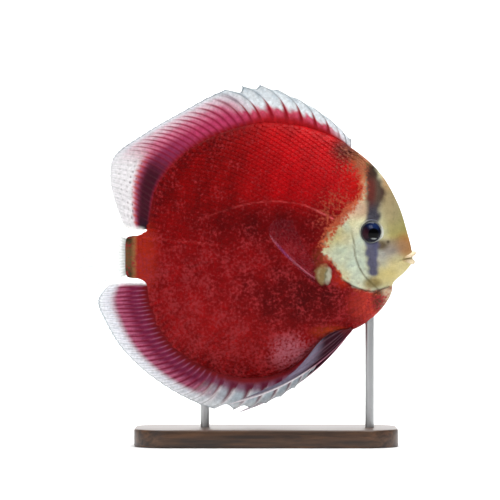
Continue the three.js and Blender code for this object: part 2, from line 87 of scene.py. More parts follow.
OUTLINE = (
    (76.8, 86), (74.5, 95.9), (70.4, 108.5), (62.3, 122.4), (50.2, 133.2), (33.1, 141.8),
    (10.6, 144.9), (-11.9, 139.1), (-28.6, 128.3), (-38.4, 114.8), (-41.7, 100), (-43, 95.9),
    (-46, 94.4), (-51.2, 93.6), (-52, 91.6), (-52.2, 84.6), (-52, 77.4), (-51.2, 75.5),
    (-46, 74.8), (-42.9, 72.6), (-41.7, 66), (-34, 48.2), (-19.6, 36.5), (1.6, 30.2),
    (19.6, 33.3), (29.9, 41), (40.7, 49.5), (52, 52.7), (62.3, 60.5), (67.4, 68.4),
    (68.2, 72.8), (73.2, 77.6), (76.6, 82),
)
THICKNESS = (
    (-60, 3), (-52, 3.6), (-44, 4.6), (-30, 7.6), (-10, 11), (10, 13.2), (30, 14.4),
    (44, 14.3), (54, 12.7), (62, 10.2), (70, 6.8), (75, 5.1), (79, 4.2),
)

# %% [markdown]
# Two ways of drawing a smooth line through a few points do nearly all of the shaping here.
# One is a closed or open curve through points in the side view. The other reads a smooth
# value at any place between keys, such as the body's thickness from tail to snout.

# %% Smooth lines
def smooth_line(points, steps, closed=False):
    p = np.array(points, float)
    if closed:
        p = np.vstack([p[-1:], p, p[:2]])
    else:
        p = np.vstack([2 * p[0] - p[1], p, 2 * p[-1] - p[-2]])
    drawn = []
    for a, b, c, d in zip(p, p[1:], p[2:], p[3:]):
        ab, bc, cd = (np.sqrt(np.linalg.norm(v)) for v in (b - a, c - b, d - c))
        m1 = ((b - a) / ab - (c - a) / (ab + bc) + (c - b) / bc) * bc
        m2 = ((c - b) / bc - (d - b) / (bc + cd) + (d - c) / cd) * bc
        t = np.linspace(0, 1, steps, endpoint=False)[:, None]
        drawn.append(
            (2 * t**3 - 3 * t**2 + 1) * b + (t**3 - 2 * t**2 + t) * m1
            + (3 * t**2 - 2 * t**3) * c + (t**3 - t**2) * m2
        )
    drawn = np.vstack(drawn)
    return drawn if closed else np.vstack([drawn, p[-2:-1]])


def read_keys(keys, at):
    keys = np.array(keys, float)
    x, y = keys[:, 0], keys[:, 1:]
    t = np.clip(np.asarray(at, float), x[0], x[-1])
    slopes = np.empty_like(y)
    slopes[1:-1] = (y[2:] - y[:-2]) / (x[2:] - x[:-2])[:, None]
    slopes[0] = (y[1] - y[0]) / (x[1] - x[0])
    slopes[-1] = (y[-1] - y[-2]) / (x[-1] - x[-2])
    i = np.clip(np.searchsorted(x, t, "right") - 1, 0, len(x) - 2)
    span = x[i + 1] - x[i]
    f = ((t - x[i]) / span)[..., None]
    span = span[..., None]
    return (
        (2 * f**3 - 3 * f**2 + 1) * y[i] + (f**3 - 2 * f**2 + f) * slopes[i] * span
        + (3 * f**2 - 2 * f**3) * y[i + 1] + (f**3 - f**2) * slopes[i + 1] * span
    )


def ease(value, start, end):
    """0 before start, 1 after end, smooth between. With start above end it falls instead."""
    t = np.clip((np.asarray(value, float) - start) / (end - start), 0, 1)
    return t * t * (3 - 2 * t)


def blend(a, b, share):
    return a + (b - a) * share


def hump(value, width):
    """1 at 0, falling smoothly on either side."""
    return np.exp(-((value / width) ** 2))


# %% [markdown]
# The flank is a shallow dome. Its thickness grows from the rim inwards, quickly on the
# rounded head and breast and slowly towards the fins, as on the living fish.

# %% The body's surface
body_outline = smooth_line(OUTLINE, 24, closed=True)
outline_angle = np.arctan2(body_outline[:, 1] - FLANK_Z, body_outline[:, 0] - FLANK_X)
outline_reach = np.hypot(body_outline[:, 1] - FLANK_Z, body_outline[:, 0] - FLANK_X)
order = np.argsort(outline_angle)
outline_angle, outline_reach = outline_angle[order], outline_reach[order]


def reach_at(angle):
    return np.interp(angle, outline_angle, outline_reach, period=2 * math.pi)


def half_thickness(angle, share):
    turned = np.degrees(np.arctan2(np.sin(angle), np.cos(angle)))
    reach = reach_at(angle)
    x = FLANK_X + np.cos(angle) * reach * share
    snout = hump(turned - SNOUT_ANGLE, SNOUT_SPREAD)
    depth = blend(BODY_DEPTH, SNOUT_DEPTH, snout)
    sharpness = blend(0.5, 0.72, ease(np.abs(turned), 50, 100))
    inwards = np.minimum(reach * (1 - share) / depth, 1)
    full = read_keys(THICKNESS, x)[..., 0]
    rim = blend(STALK_HALF, RIM_HALF, ease(np.abs(180 - np.abs(turned + 4)), 5, 22))
    half = rim + (full - rim) * (1 - (1 - inwards) ** 2) ** sharpness
    return half * blend(1, 0.7, ease(-x, 43, 52))


def polar(x, z):
    angle = np.arctan2(z - FLANK_Z, x - FLANK_X)
    return angle, np.hypot(x - FLANK_X, z - FLANK_Z) / reach_at(angle)


def flank_half(x, z):
    angle, share = polar(x, z)
    return half_thickness(angle, np.clip(share, 0, 1))


print("half thickness at the gill cover:", round(float(flank_half(44.0, 90.0)), 2), "mm")

# %% [markdown]
# A piece starts as a primitive from the Add menu and is then shaped by moving its points,
# as a sculptor would, but with a formula. Two small helpers do this: one adds and names a
# primitive with nothing else selected, and one hands its points to a shaping function.

# %% Adding and shaping
def start_clean():
    if bpy.context.object and bpy.context.object.mode != "OBJECT":
        bpy.ops.object.mode_set(mode="OBJECT")
    bpy.ops.object.select_all(action="DESELECT")


def add_named(name, operator, **settings):
    start_clean()
    operator(**settings)
    piece = bpy.context.object
    piece.name = name
    piece.data.name = name
    return piece


def points_of(piece):
    flat = np.empty(len(piece.data.vertices) * 3)
    piece.data.vertices.foreach_get("co", flat)
    return flat.reshape(-1, 3)


def move_points(piece, points_mm):
    piece.data.vertices.foreach_set("co", (points_mm * MM).ravel())
    piece.data.update()


def face_outwards(piece):
    start_clean()
    piece.select_set(True)
    bpy.context.view_layer.objects.active = piece
    bpy.ops.object.mode_set(mode="EDIT")
    bpy.ops.mesh.select_all(action="SELECT")
    bpy.ops.mesh.normals_make_consistent(inside=False)
    bpy.ops.object.mode_set(mode="OBJECT")
    bpy.ops.object.shade_smooth()


def keep_values(piece, name, values):
    values = np.asarray(values, float)
    if values.ndim == 1:
        layer = piece.data.attributes.new(name, "FLOAT", "POINT")
        layer.data.foreach_set("value", values)
    else:
        layer = piece.data.attributes.new(name, "FLOAT_COLOR", "POINT")
        colours = np.ones((len(values), 4))
        colours[:, :3] = values
        layer.data.foreach_set("color", colours.ravel())


def paint_fish(piece, x, z):
    paint = markings(x, z)
    dots, amount = speckles(x, z, paint)
    keep_values(piece, "paint", paint)
    keep_values(piece, "dots", dots)
    keep_values(piece, "dotted", amount)


def keep_plain(piece, paint):
    keep_values(piece, "paint", paint)
    keep_values(piece, "dots", paint * 0.7)
    keep_values(piece, "dotted", np.full(len(paint), 0.12))


def finish_piece(piece, slot, material, *nodes):
    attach(piece, "root")
    if nodes:
        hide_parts(*nodes)
    piece.data.materials.clear()
    piece.data.materials.append(material)
    print(piece.name, len(piece.data.polygons), "faces")


# %% [markdown]
# A thin sheet, such as a fin, starts as a flat grid that Solidify turns into a closed shell.
# The shaping function gets each point's place along and across the grid and its side.

# %% Sheets that are closed all round
def add_sheet(name, along, across, shape):
    piece = add_named(name, bpy.ops.mesh.primitive_grid_add, x_subdivisions=along, y_subdivisions=across,
        size=2)
    shell = piece.modifiers.new("Thickness", "SOLIDIFY")
    shell.thickness = 0.2
    shell.offset = 0
    bpy.ops.object.modifier_apply(modifier=shell.name)
    flat = points_of(piece)
    values = shape(flat[:, 0] / 2 + 0.5, flat[:, 1] / 2 + 0.5, np.sign(flat[:, 2]))
    move_points(piece, values)
    face_outwards(piece)
    return piece


def add_ball(name, segments, rings, shape):
    piece = add_named(name, bpy.ops.mesh.primitive_uv_sphere_add, segments=segments, ring_count=rings,
        radius=1)
    ball = points_of(piece)
    around = np.mod(np.arctan2(ball[:, 1], ball[:, 0]), 2 * math.pi)
    down = np.arccos(np.clip(ball[:, 2], -1, 1))
    move_points(piece, shape(around, down))
    face_outwards(piece)
    return piece


# %% [markdown]
# Colours are written as sRGB hex values, the way a paint chart gives them, and one function
# turns them to the linear values that the renderer adds up.

# %% Colours and nodes
def colour(hex_value):
    channels = np.array([int(hex_value[i : i + 2], 16) / 255 for i in (1, 3, 5)])
    return np.where(channels <= 0.04045, channels / 12.92, ((channels + 0.055) / 1.055) ** 2.4)


def rgba(hex_value):
    return (*colour(hex_value), 1.0)


def connect(tree, made, inputs=None, links=None):
    """Sets inputs and joins other nodes to them. A node alone stands for its first output."""
    for key, value in (inputs or {}).items():
        made.inputs[key].default_value = value
    for key, source in (links or {}).items():
        tree.links.new(getattr(source, "outputs", [source])[0], made.inputs[key])


def node(tree, kind, settings=None, inputs=None, links=None):
    made = tree.nodes.new("ShaderNode" + kind)
    for key, value in (settings or {}).items():
        setattr(made, key, value)
    connect(tree, made, inputs, links)
    return made


def new_material(name):
    material = bpy.data.materials.new(name)
    material.use_nodes = True
    tree = material.node_tree
    tree.nodes.clear()
    shader = node(tree, "BsdfPrincipled")
    node(tree, "OutputMaterial", links={"Surface": shader})
    return material, tree, shader


def toned(tree, painted, grain, low, high, start=0.3, end=0.7):
    """The painted colour, made darker and lighter by the grain."""
    tones = {"From Min": start, "From Max": end, "To Min": low, "To Max": high}
    lighter = node(tree, "MapRange", {}, tones, {"Value": grain})
    return node(tree, "VectorMath", {"operation": "SCALE"}, {}, {0: painted, "Scale": lighter})


# %% [markdown]
# The markings are painted in a fixed order, as on a cast: first the red of the flank, then
# the cream face, then the dark bar through the eye and the small patches. Each mark is a
# soft-edged area given by a few places in the side view, so skin and scales can share it.

# %% Soft-edged areas
def towards(base, hex_value, share):
    return base + (colour(hex_value) - base) * np.asarray(share)[:, None]


def coats(base, *layers):
    """Thin coats of colour, one over another. Each is a hex value and its share."""
    for hex_value, share in layers:
        base = towards(base, hex_value, share)
    return base


def plain(hex_value, like):
    return np.tile(colour(hex_value), (len(like), 1))


def spot(x, z, centre, size, soft=0.35):
    r = np.hypot((x - centre[0]) / size[0], (z - centre[1]) / size[1])
    return ease(r, 1 + soft, 1 - soft)


def strip(x, z, keys, soft):
    keys = sorted(keys)
    heights = [k[0] for k in keys]
    left = np.interp(z, heights, [k[1] for k in keys])
    right = np.interp(z, heights, [k[2] for k in keys])
    inside = ease(x, left - soft, left + soft) * ease(x, right + soft, right - soft)
    falling = ease(z, heights[-1] + soft, heights[-1] - soft)
    return inside * ease(z, heights[0] - soft, heights[0] + soft) * falling


def beside(x, z, line):
    """Signed distance to a line: above 0 on the snout's side of one drawn downwards."""
    best = np.full(len(x), 1e9)
    signed = np.zeros(len(x))
    for (ax, az), (bx, bz) in zip(line[:-1], line[1:]):
        dx, dz = bx - ax, bz - az
        t = np.clip(((x - ax) * dx + (z - az) * dz) / (dx * dx + dz * dz + 1e-9), 0, 1)
        away = np.hypot(x - ax - t * dx, z - az - t * dz)
        cross = dx * (z - az) - dz * (x - ax)
        signed = np.where(away < best, np.sign(cross) * away, signed)
        best = np.minimum(best, away)
    return signed


def distance_to(x, z, line):
    return np.abs(beside(x, z, line))


def wander(x, z, size, seed):
    rng = np.random.default_rng(seed)
    total = np.zeros(len(x))
    for _ in range(7):
        a, p = rng.uniform(0, 2 * math.pi, 2)
        k = 2 * math.pi / size * rng.uniform(0.6, 1.5)
        total += np.sin((x * math.cos(a) + z * math.sin(a)) * k + p)
    return total / 3


# %% [markdown]
# The places of the head's lines: the rear edge of the gill cover, the groove in front of it,
# and the edge where the red of the flank gives way to the cream of the face.

# %% Lines of the head
COVER_REAR = smooth_line(
    [(49.5, 132), (43.5, 115), (38.2, 102), (36.2, 92), (38, 84),
     (43.5, 76.5), (50.5, 71.7), (58.5, 69.6), (66, 71.6)], 10)
CHEEK_GROOVE = smooth_line(
    [(41, 108.5), (47.6, 101.5), (50.2, 92), (51.2, 84), (55, 76.4), (61.5, 70.2)], 10)
RED_EDGE = [(56.0, 132.8), (53.8, 126.0), (54.2, 119.2), (54.7, 113.9), (52.4, 109.8),
            (48.8, 107.1), (47.0, 104.0), (44.3, 101.2), (40.3, 97.2), (37.6, 93.2),
            (36.2, 88.7), (38.0, 85.0), (40.7, 82.4), (43.0, 78.8), (45.7, 74.7),
            (49.7, 71.5), (54.2, 70.0), (59.6, 69.3), (65.0, 70.2), (68.6, 72.0)]
THROAT_START = 10  # from this place on, the edge of the red runs under the throat
LATERAL_LINE = smooth_line(
    [(40.7, 101.7), (34.4, 104.9), (28.6, 107.5), (21.8, 108.9), (12.8, 109.4),
     (3.8, 108.5), (-5.2, 106.2), (-13.3, 103.5), (-23.2, 98.5), (-28.6, 93.2)], 8)
TAIL_LINE = smooth_line([(-28.6, 89.1), (-36.7, 86.4), (-43.0, 85.0)], 6)
BAR_ABOVE = [(128.2, 55.1, 56.9), (124.7, 55.1, 60.5), (120.2, 55.6, 61.9), (116.5, 56.0, 63.2),
             (113.0, 56.0, 65.0), (110.2, 56.0, 63.7), (106.7, 56.5, 61.4), (100.4, 56.0, 61.9)]
BAR_BELOW = [(92.2, 55.4, 61.4), (85.5, 55.6, 61.2), (79.7, 56.5, 61.2), (76.0, 57.4, 60.5)]

# %% Where the face begins
red_edge_z = np.array([z for x, z in RED_EDGE])
red_edge_x = np.array([x for x, z in RED_EDGE])
print("edge of the red:", len(RED_EDGE), "places; gill cover:", len(COVER_REAR), "points")


def face_share(x, z, soft=1.3):
    """1 on the cream face, 0 on the red flank."""
    upper = np.interp(z, red_edge_z[::-1], red_edge_x[::-1])
    in_front = ease(x, upper - soft, upper + soft)
    throat = np.interp(x, red_edge_x[THROAT_START + 1 :], red_edge_z[THROAT_START + 1 :])
    above = ease(z, throat - soft * 0.6, throat + soft * 0.6)
    below = np.where(x < red_edge_x[THROAT_START], 0, above)
    return np.where(z < red_edge_z[THROAT_START], below, in_front)


DEEP_RED = np.array([0.82, 0.4, 0.45])  # the lacquer swallows most green and blue


def flank_paint(x, z, broad, fine):
    ray_like = 0.5 + 0.5 * np.sin(np.arctan2(z - FLANK_Z, x - FLANK_X) * 118)
    rim = ease(polar(x, z)[1], 0.86, 0.97)
    line = distance_to(x, z, LATERAL_LINE)
    near_head = ease(x, 28, 34)
    thread = hump(line, 0.26 + 0.14 * near_head) * (0.3 + 0.45 * near_head)
    paint = coats(
        plain("#860a0c", x),
        ("#b40210", ease(z, 92, 122) * ease(x, -12, 26)),
        ("#7e0405", ease(z, 88, 125) * ease(x, 12, -20) * 0.8),
        ("#5e0305", spot(x, z, (11.9, 98.5), (30, 8.5), 0.8) * 0.9),
        ("#6c0507", spot(x, z, (19.6, 86.9), (26, 12), 0.8) * 0.6),
        ("#931316", ease(z, 98, 80) * 0.55),
        ("#a8201f", spot(x, z, (-0.7, 49.5), (36, 15), 0.7) * 0.45),
        ("#4e0405", spot(x, z, (26.3, 65.2), (26, 14), 0.8) * 0.8),
        ("#c41a14", spot(x, z, (52.0, 117.5), (6, 13), 0.6) * 0.9),
        ("#a01210", spot(x, z, (41.2, 82.4), (7, 7), 0.6) * 0.4),
        ("#6a0708", ease(z, 52, 34) * 0.5),
        ("#5c0a12", ease(x, -30, -44) * ease(z, 98, 112) * 0.6),
        ("#e06a50", spot(x, z, (57.8, 63.5), (8, 8), 0.7) * 0.6),
        ("#c8431f", spot(x, z, (44.3, 74.7), (4, 3.5), 0.6) * 0.75),
        ("#4f0506", spot(x, z, (36.2, 69.3), (7, 4), 0.7) * 0.7),
        ("#b06a40", spot(x, z, (37.6, 85.5), (2.7, 3.8), 0.5) * 0.85),
        ("#6e4a24", spot(x, z, (34.0, 83.7), (2.6, 4.5), 0.6) * 0.7),
        ("#b8622a", spot(x, z, (39.8, 50.9), (7, 2.6), 0.7) * 0.65),
        ("#3c0410", rim * ray_like * ease(x, 12, -6) * 0.5),
        ("#ff9c94", thread * ease(x, -28, 6) * np.clip(0.75 + 0.5 * fine, 0.2, 1)),
        ("#b8403a", hump(distance_to(x, z, TAIL_LINE), 0.6) * 0.4),
    )
    return paint * (1 + 0.13 * broad + 0.10 * fine)[:, None] * DEEP_RED


def stalk_paint(paint, x, z):
    stalk = ease(x, -34.9, -43.0) * spot(x, z, (-46, 84.6), (15, 14), 0.4)
    ends = ease(np.abs(z - 84.6), 3, 8)
    return coats(
        paint,
        ("#a82a18", stalk * 0.8),
        ("#8c7448", ease(x, -46.4, -48.6) * 0.7),
        ("#2c2e1c", ease(x, -48.1, -50.0) * (0.62 + 0.33 * ends)),
    )


def face_paint(x, z, broad, fine):
    brow = ease(x, 61.4, 67.7) * ease(z, 82.4, 93.2) * (1 - ease(z, 104.0, 112.0) * 0.5)
    wobble = 0.35 * fine
    above = strip(x + wobble, z, BAR_ABOVE, 1.5)
    groove = beside(x, z, CHEEK_GROOVE)
    face = coats(
        plain("#c6c19a", x),
        ("#b4c2ae", np.clip(wander(x, z, 11, 11), 0, 1) * 0.6),
        ("#d6cfae", np.clip(wander(x, z, 7, 12), 0, 1) * 0.45),
        ("#b9ab6c", spot(x, z, (40.7, 93.6), (5, 5.5), 0.6) * 0.6),
        ("#b5c6b4", spot(x, z, (43.9, 85.5), (5, 5), 0.6) * 0.55),
        ("#a09352", brow * 0.8),
        ("#8b8548", spot(x, z, (71.3, 97.7), (5, 6), 0.6) * 0.6),
        ("#b68355", spot(x, z, (66.8, 115.7), (4.2, 12), 0.5) * 0.75),
        ("#948a68", spot(x, z, (67.7, 107.5), (6, 9), 0.6) * 0.8),
        ("#a26630", spot(x, z, (73.6, 89.5), (4.2, 5.2), 0.6) * 0.85),
        ("#8b6f56", spot(x, z, (69.5, 89.5), (6, 3.6), 0.6) * 0.65),
        ("#8a8486", spot(x, z, (65.0, 85.5), (5, 5.4), 0.7) * 0.7),
        ("#c9b87c", spot(x, z, (70.9, 79.7), (7, 5), 0.6) * 0.75),
        ("#b9a65e", spot(x, z, (64.1, 75.2), (6, 4), 0.6) * 0.65),
        ("#bccec2", spot(x, z, (52.0, 82.4), (4, 12), 0.6) * 0.6),
        ("#c08c78", spot(x, z, (51.5, 106.2), (8, 4), 0.6) * 0.6),
        ("#a87c4c", spot(x, z, (53.8, 124.7), (4.5, 6.5), 0.6) * 0.85),
        # painted shade: a dark patch below and in front of the eye
        ("#4a3820", spot(x, z, (62.1, 90.0), (3.4, 2.3), 0.6) * 0.85),
        ("#3c2626", above * 0.92),
        ("#642420", above * spot(x, z, (57.4, 114.8), (2.8, 7.5), 0.6) * 0.8),
        ("#2c221c", above * spot(x, z, (58.3, 123.8), (4, 4), 0.6) * 0.7),
        ("#40404c", above * ease(107.1 - z, -4, 3) * 0.85),
        ("#484868", strip(x + wobble, z, BAR_BELOW, 1.1) * 0.92),
        ("#7d6a38", spot(x, z, (58.7, 72.9), (4, 2.4), 0.5) * 0.85),
        # painted shade along the cheek groove, where the relief sinks the skin
        ("#5e5230", hump(groove + 0.2, 0.42) * 0.6 * ease(z, 99, 93)),
    )
    return face * (1 + 0.05 * broad + 0.06 * fine)[:, None]


def markings(x, z):
    """The fish's paint at a place in the side view, in linear RGB."""
    broad = wander(x, z, 16, 3)
    fine = wander(x, z, 4.2, 5)
    paint = stalk_paint(flank_paint(x, z, broad, fine), x, z)
    face = face_paint(x, z, broad, fine)
    paint = paint + (face - paint) * face_share(x + 0.5 * fine, z + 0.3 * fine, 1.6)[:, None]
    under = 1 - ease(z, 69.3, 71.1)
    throat = spot(x, z, (64.6, 66.6), (6.0, 6.5), 0.5) * ease(x, 60.5, 63.2) * under
    nostril = np.hypot(x - NOSTRIL[0], z - NOSTRIL[1])
    # painted shade: a dark line just behind the gill cover's rear edge, where the cover overhangs the
    # body
    cover_edge_shade = hump(beside(x, z, COVER_REAR) + 0.35, 0.4) * ease(z, 92, 80)
    cover_edge_shade = cover_edge_shade * ease(x, 40, 47)
    paint = coats(
        paint,
        ("#c4b092", throat * 0.85),
        ("#45281a", spot(x, z, (61.2, 65.7), (2.6, 5.6), 0.5) * under * 0.9),
        ("#a0784a", spot(x, z, (54.2, 130.1), (5, 4.5), 0.7) * 0.75),
        ("#3a1d18", spot(x, z, (47.5, 132.8), (6.5, 5), 0.7) * 0.85),
        # painted shade: the nostril pit is darkened where the relief sinks it
        ("#2e2016", hump(nostril, 0.62) * 0.85),
        ("#3c1410", cover_edge_shade * 0.9),
    )
    return np.clip(paint, 0, 1)


# %% [markdown]
# Up close the edges between colours are not blurred but speckled, one colour in small
# dots over the other. A second colour and its amount are stored for that, and the finish
# turns them into dots with a noise, so the dots stay sharp however coarse the mesh is.

# %% Speckles
def speckles(x, z, paint):
    share = face_share(x, z, 4.5)
    edge = 4 * share * (1 - share)
    dots = plain("#96282c", x)
    dots = towards(dots, "#c05e3c", np.clip(edge * 1.6, 0, 1))
    veins = spot(x, z, (42.1, 104.0), (8, 11), 0.8)
    dots = towards(dots, "#aa4e34", veins * 0.9)
    within = ease(share, 0.9, 1.0)[:, None]
    dots = dots + (paint * 0.8 - dots) * within
    low = 1 - ease(z, 78, 104)
    low = low * (1 - 0.6 * spot(x, z, (26.3, 65.2), (26, 14), 0.8))
    amount = 0.10 + 0.27 * low + 0.16 * np.clip(wander(x, z, 13, 31), -1, 1)
    amount = amount * (1 - ease(z, 96, 120) * ease(x, -14, 22) * 0.9)
    amount = amount * ease(share, 0.4, 0.0)
    amount = amount + 0.34 * veins
    amount = amount + 0.45 * edge * ease(z, 72, 80) * ease(z, 134, 128)
    amount = amount + 0.1 * ease(share, 0.9, 1.0)
    rosy = spot(x, z, (22.7, 41.9), (9, 7), 0.7)
    dots = towards(dots, "#b0606c", rosy * 0.8)
    amount = amount + 0.3 * rosy
    nape = spot(x, z, (49.7, 129.2), (9, 9), 0.6)
    dots = towards(dots, "#86503a", nape * 0.85)
    amount = amount + 0.3 * nape
    return dots, np.clip(amount, 0, 1)


# %% [markdown]
# The skin is one closed surface for head, body and tail root, so no seam shows. A UV
# sphere is turned on its side, its poles become the middles of the two flanks, and each
# meridian is stretched out to the fish's outline. More meridians fall on the head.

# %% Relief of the head, in millimetres outwards
def cover_rise(x, z):
    """1 at the gill cover's rear edge, falling to 0 at the groove in front of it."""
    rear = beside(x, z, COVER_REAR)
    groove = beside(x, z, CHEEK_GROOVE)
    inside = ease(rear, -0.15, 0.15) * ease(-groove, -0.3, 0.3)
    return inside * ease(z, 109, 105) * np.abs(groove) / (np.abs(groove) + np.abs(rear) + 0.4)


MOUTH_LINE = smooth_line([(69.4, 81.6), MOUTH_CORNER, (73, 83.7), (78, 84.6)], 6)
JAW_LINE = smooth_line([(69.0, 84.6), (66.4, 81.2), (64.5, 78.0)], 6)
CHEEK_BONE = smooth_line([(60.5, 89.6), (64, 87.6), (67.6, 86.6)], 6)


def groove_along(x, z, line, width):
    return hump(distance_to(x, z, line), width)


def head_relief(x, z):
    eye = np.hypot(x - EYE_X, z - EYE_Z)
    nostril = np.hypot(x - NOSTRIL[0], z - NOSTRIL[1])
    relief = 0.45 * cover_rise(x, z)
    relief -= 2.4 * ease(eye, 5.5, 4.2)
    relief += 0.42 * hump(eye - 6.1, 0.8)
    relief -= 0.45 * groove_along(x, z, CHEEK_GROOVE, 0.5) * (1 - 0.85 * ease(z, 94, 100))
    relief -= 0.8 * hump(nostril, 0.62)
    relief += 0.22 * hump(nostril - 1.15, 0.4)
    relief -= 1.0 * groove_along(x, z, MOUTH_LINE, 0.42) * ease(x, 69.4, 71.2)
    relief -= 0.25 * groove_along(x, z, JAW_LINE, 0.6)
    relief -= 0.18 * groove_along(x, z, CHEEK_BONE, 0.9)
    return relief


def body_scaled(x, z):
    """1 where the body carries full scales: behind the gill cover and the red of the nape."""
    brow = np.interp(z, red_edge_z[::-1], red_edge_x[::-1])
    upper = 1 - ease(x, brow - 2.6, brow - 1.6)
    rear = 1 - ease(beside(x, z, COVER_REAR), -1.1, -0.5)
    lower = rear * np.where((z < 76) & (x > 60), 1 - ease(x, 64, 66), 1)
    return np.where(z > 103, upper, np.minimum(lower, np.where(z > 98, upper, 1)))


def face_scaled(x, z):
    """1 where the head carries its much smaller scales: cheek, gill cover and forehead."""
    eye = np.hypot(x - EYE_X, z - EYE_Z)
    front = 1 - ease(x - 0.35 * np.maximum(z - 100, 0), 61, 62)
    on_head = np.maximum(ease(beside(x, z, COVER_REAR), 0.5, 0.9), ease(z, 103, 103.5))
    clear = ease(eye, 7.4, 7.8) * ease(distance_to(x, z, CHEEK_GROOVE), 0.6, 1.0)
    return front * on_head * clear * ease(body_scaled(x, z), 0.4, 0.02) * ease(z, 71.5, 73)


def skin_half(x, z, angle, share):
    edge = ease(1 - share, 0, 0.03)
    sunk = COAT_DEPTH * body_scaled(x, z) + FACE_COAT_DEPTH * face_scaled(x, z)
    return half_thickness(angle, share) + (head_relief(x, z) - sunk) * edge


# %% Add the skin
SKIN_MERIDIANS, SKIN_RINGS = 408, 239
RING_SPREAD = 0.9  # how rings spread from the middle of a flank to the rim


def meridian_angles(around):
    angle = np.linspace(-math.pi, math.pi, 2881)
    turned = np.degrees(angle)
    crowding = 1 + 2.8 * hump(turned - 6, 36) + 3.2 * hump(180 - np.abs(turned), 12)
    total = np.concatenate([[0], np.cumsum((crowding[1:] + crowding[:-1]) / 2)])
    return np.interp(around / (2 * math.pi), total / total[-1], angle)


def skin_shape(around, down):
    angle = meridian_angles(around)
    side = np.where(down <= math.pi / 2, 1.0, -1.0)
    share = np.clip(np.sin(down), 0, 1) ** RING_SPREAD
    reach = reach_at(angle)
    x = FLANK_X + np.cos(angle) * reach * share
    z = FLANK_Z + np.sin(angle) * reach * share
    return np.stack([x, side * skin_half(x, z, angle, share), z], axis=1)


skin = add_ball("skin", SKIN_MERIDIANS, SKIN_RINGS, skin_shape)
skin_points = points_of(skin) / MM
paint_fish(skin, skin_points[:, 0], skin_points[:, 2])
print("skin reaches", skin_points.min(0).round(1), skin_points.max(0).round(1))

# %% [markdown]
# Fish skin is thin and wet-looking: colour sits in cells under a clear slime coat. On the
# model that is pigmented resin under satin lacquer. Its grain is about half a
# millimetre, drawn with a fine noise, and the gloss differs a little from cell to cell.

# %% Lacquered skin
def speckled(tree, place):
    """The painted colour with its speckles, ready for a finish's Base Color."""
    paint, dots, dotted = (
        node(tree, "Attribute", {"attribute_name": name}) for name in ("paint", "dots", "dotted"))
    speck = node(tree, "TexNoise", {}, {"Scale": 1 / (1.3 * MM), "Detail": 3.0, "Roughness": 0.6},
        {"Vector": place})
    raised = node(tree, "Math", {"operation": "MULTIPLY_ADD"}, {1: 0.42},
        {0: dotted.outputs["Fac"], 2: speck})
    shown = node(tree, "MapRange", {}, {"From Min": 0.58, "From Max": 0.82}, {"Value": raised})
    both = node(tree, "Mix", {"data_type": "RGBA"}, {}, {"Factor": shown, "A": paint, "B": dots})
    return both.outputs["Result"]


def skin_material():
    material, tree, shader = new_material("satin lacquered resin skin")
    place = node(tree, "TexCoord").outputs["Object"]
    grain = node(tree, "TexNoise", {}, {"Scale": 1 / (0.5 * MM), "Detail": 4.0, "Roughness": 0.6},
        {"Vector": place})
    painted = toned(tree, speckled(tree, place), grain, 0.86, 1.14)
    cells = node(tree, "TexVoronoi", {}, {"Scale": 1 / (1.6 * MM)}, {"Vector": place})
    gloss = node(tree, "MapRange", {}, {"From Max": 0.8, "To Min": 0.34, "To Max": 0.5}, {"Value": cells})
    bump = node(tree, "Bump", {}, {"Strength": 0.5, "Distance": 0.05 * MM}, {"Height": grain})
    connect(tree, shader, {"Specular IOR Level": 0.1},
            {"Base Color": painted, "Roughness": gloss, "Normal": bump})
    return material


skin_lacquer = skin_material()
finish_piece(skin, "flank_skin", skin_lacquer,
             "head", "trunk", "tail_stalk", "gill_cover_right", "gill_cover_left")

# %% [markdown]
# The scales are real plates. One plate is modelled once: a small closed sheet, round at its
# free rear edge and buried at its root. It is then copied in staggered rows, and each copy
# is laid on the flank with its free edge towards the tail, overlapping the next one.

# %% One scale
SCALE_LENGTH, SCALE_WIDTH, SCALE_THICK = 3.3, 2.3, 0.06


def scale_shape(u, v, side):
    across = (v - 0.5) * 2
    round_end = np.sqrt(np.clip(1 - (across * 0.95) ** 2, 0, 1))
    along = SCALE_LENGTH * (u * (0.42 + 0.58 * round_end) - 0.25)
    lift = -0.10 + 0.16 * u + 0.04 * (1 - across**2) * (1 - 0.4 * u)
    taper = 1 - 0.35 * (1 - u) ** 2
    return np.stack([along, across * SCALE_WIDTH / 2 * taper, lift + side * SCALE_THICK / 2], axis=1)


one_scale = add_sheet("one_scale", 4, 4, scale_shape)
scale_points = points_of(one_scale) / MM
scale_faces = [tuple(f.vertices) for f in one_scale.data.polygons]
bpy.data.objects.remove(one_scale)
print("one scale:", len(scale_faces), "faces")

# %% [markdown]
# The rows of scales follow the body: they run from the head to the tail root, and draw
# together towards both ends, so that scales are largest in the middle of the flank.

# %% The lie of the scales
ROWS_MIDDLE_X, ROWS_HALF_LENGTH, ROWS_DRAW_IN = 14.0, 56.0, 0.24
COLUMN_BOW = 0.0025  # columns of scales curve as the gill cover's rear edge does


def rows_spread(x):
    return 1 - ROWS_DRAW_IN * ((x - ROWS_MIDDLE_X) / ROWS_HALF_LENGTH) ** 2


def rows_centre(x):
    return FLANK_Z - 3.4 * ease(-x, 0, 45)


def rows_slope(x, z):
    step = 0.5
    row = (z - rows_centre(x)) / rows_spread(x)
    ahead = rows_centre(x + step) + row * rows_spread(x + step)
    return (ahead - z) / step


def smooth_flank(x, z):
    """1 on the upper front of the flank, where scales lie flattest and most alike."""
    return ease(z, 92, 116) * ease(x, -18, 14)


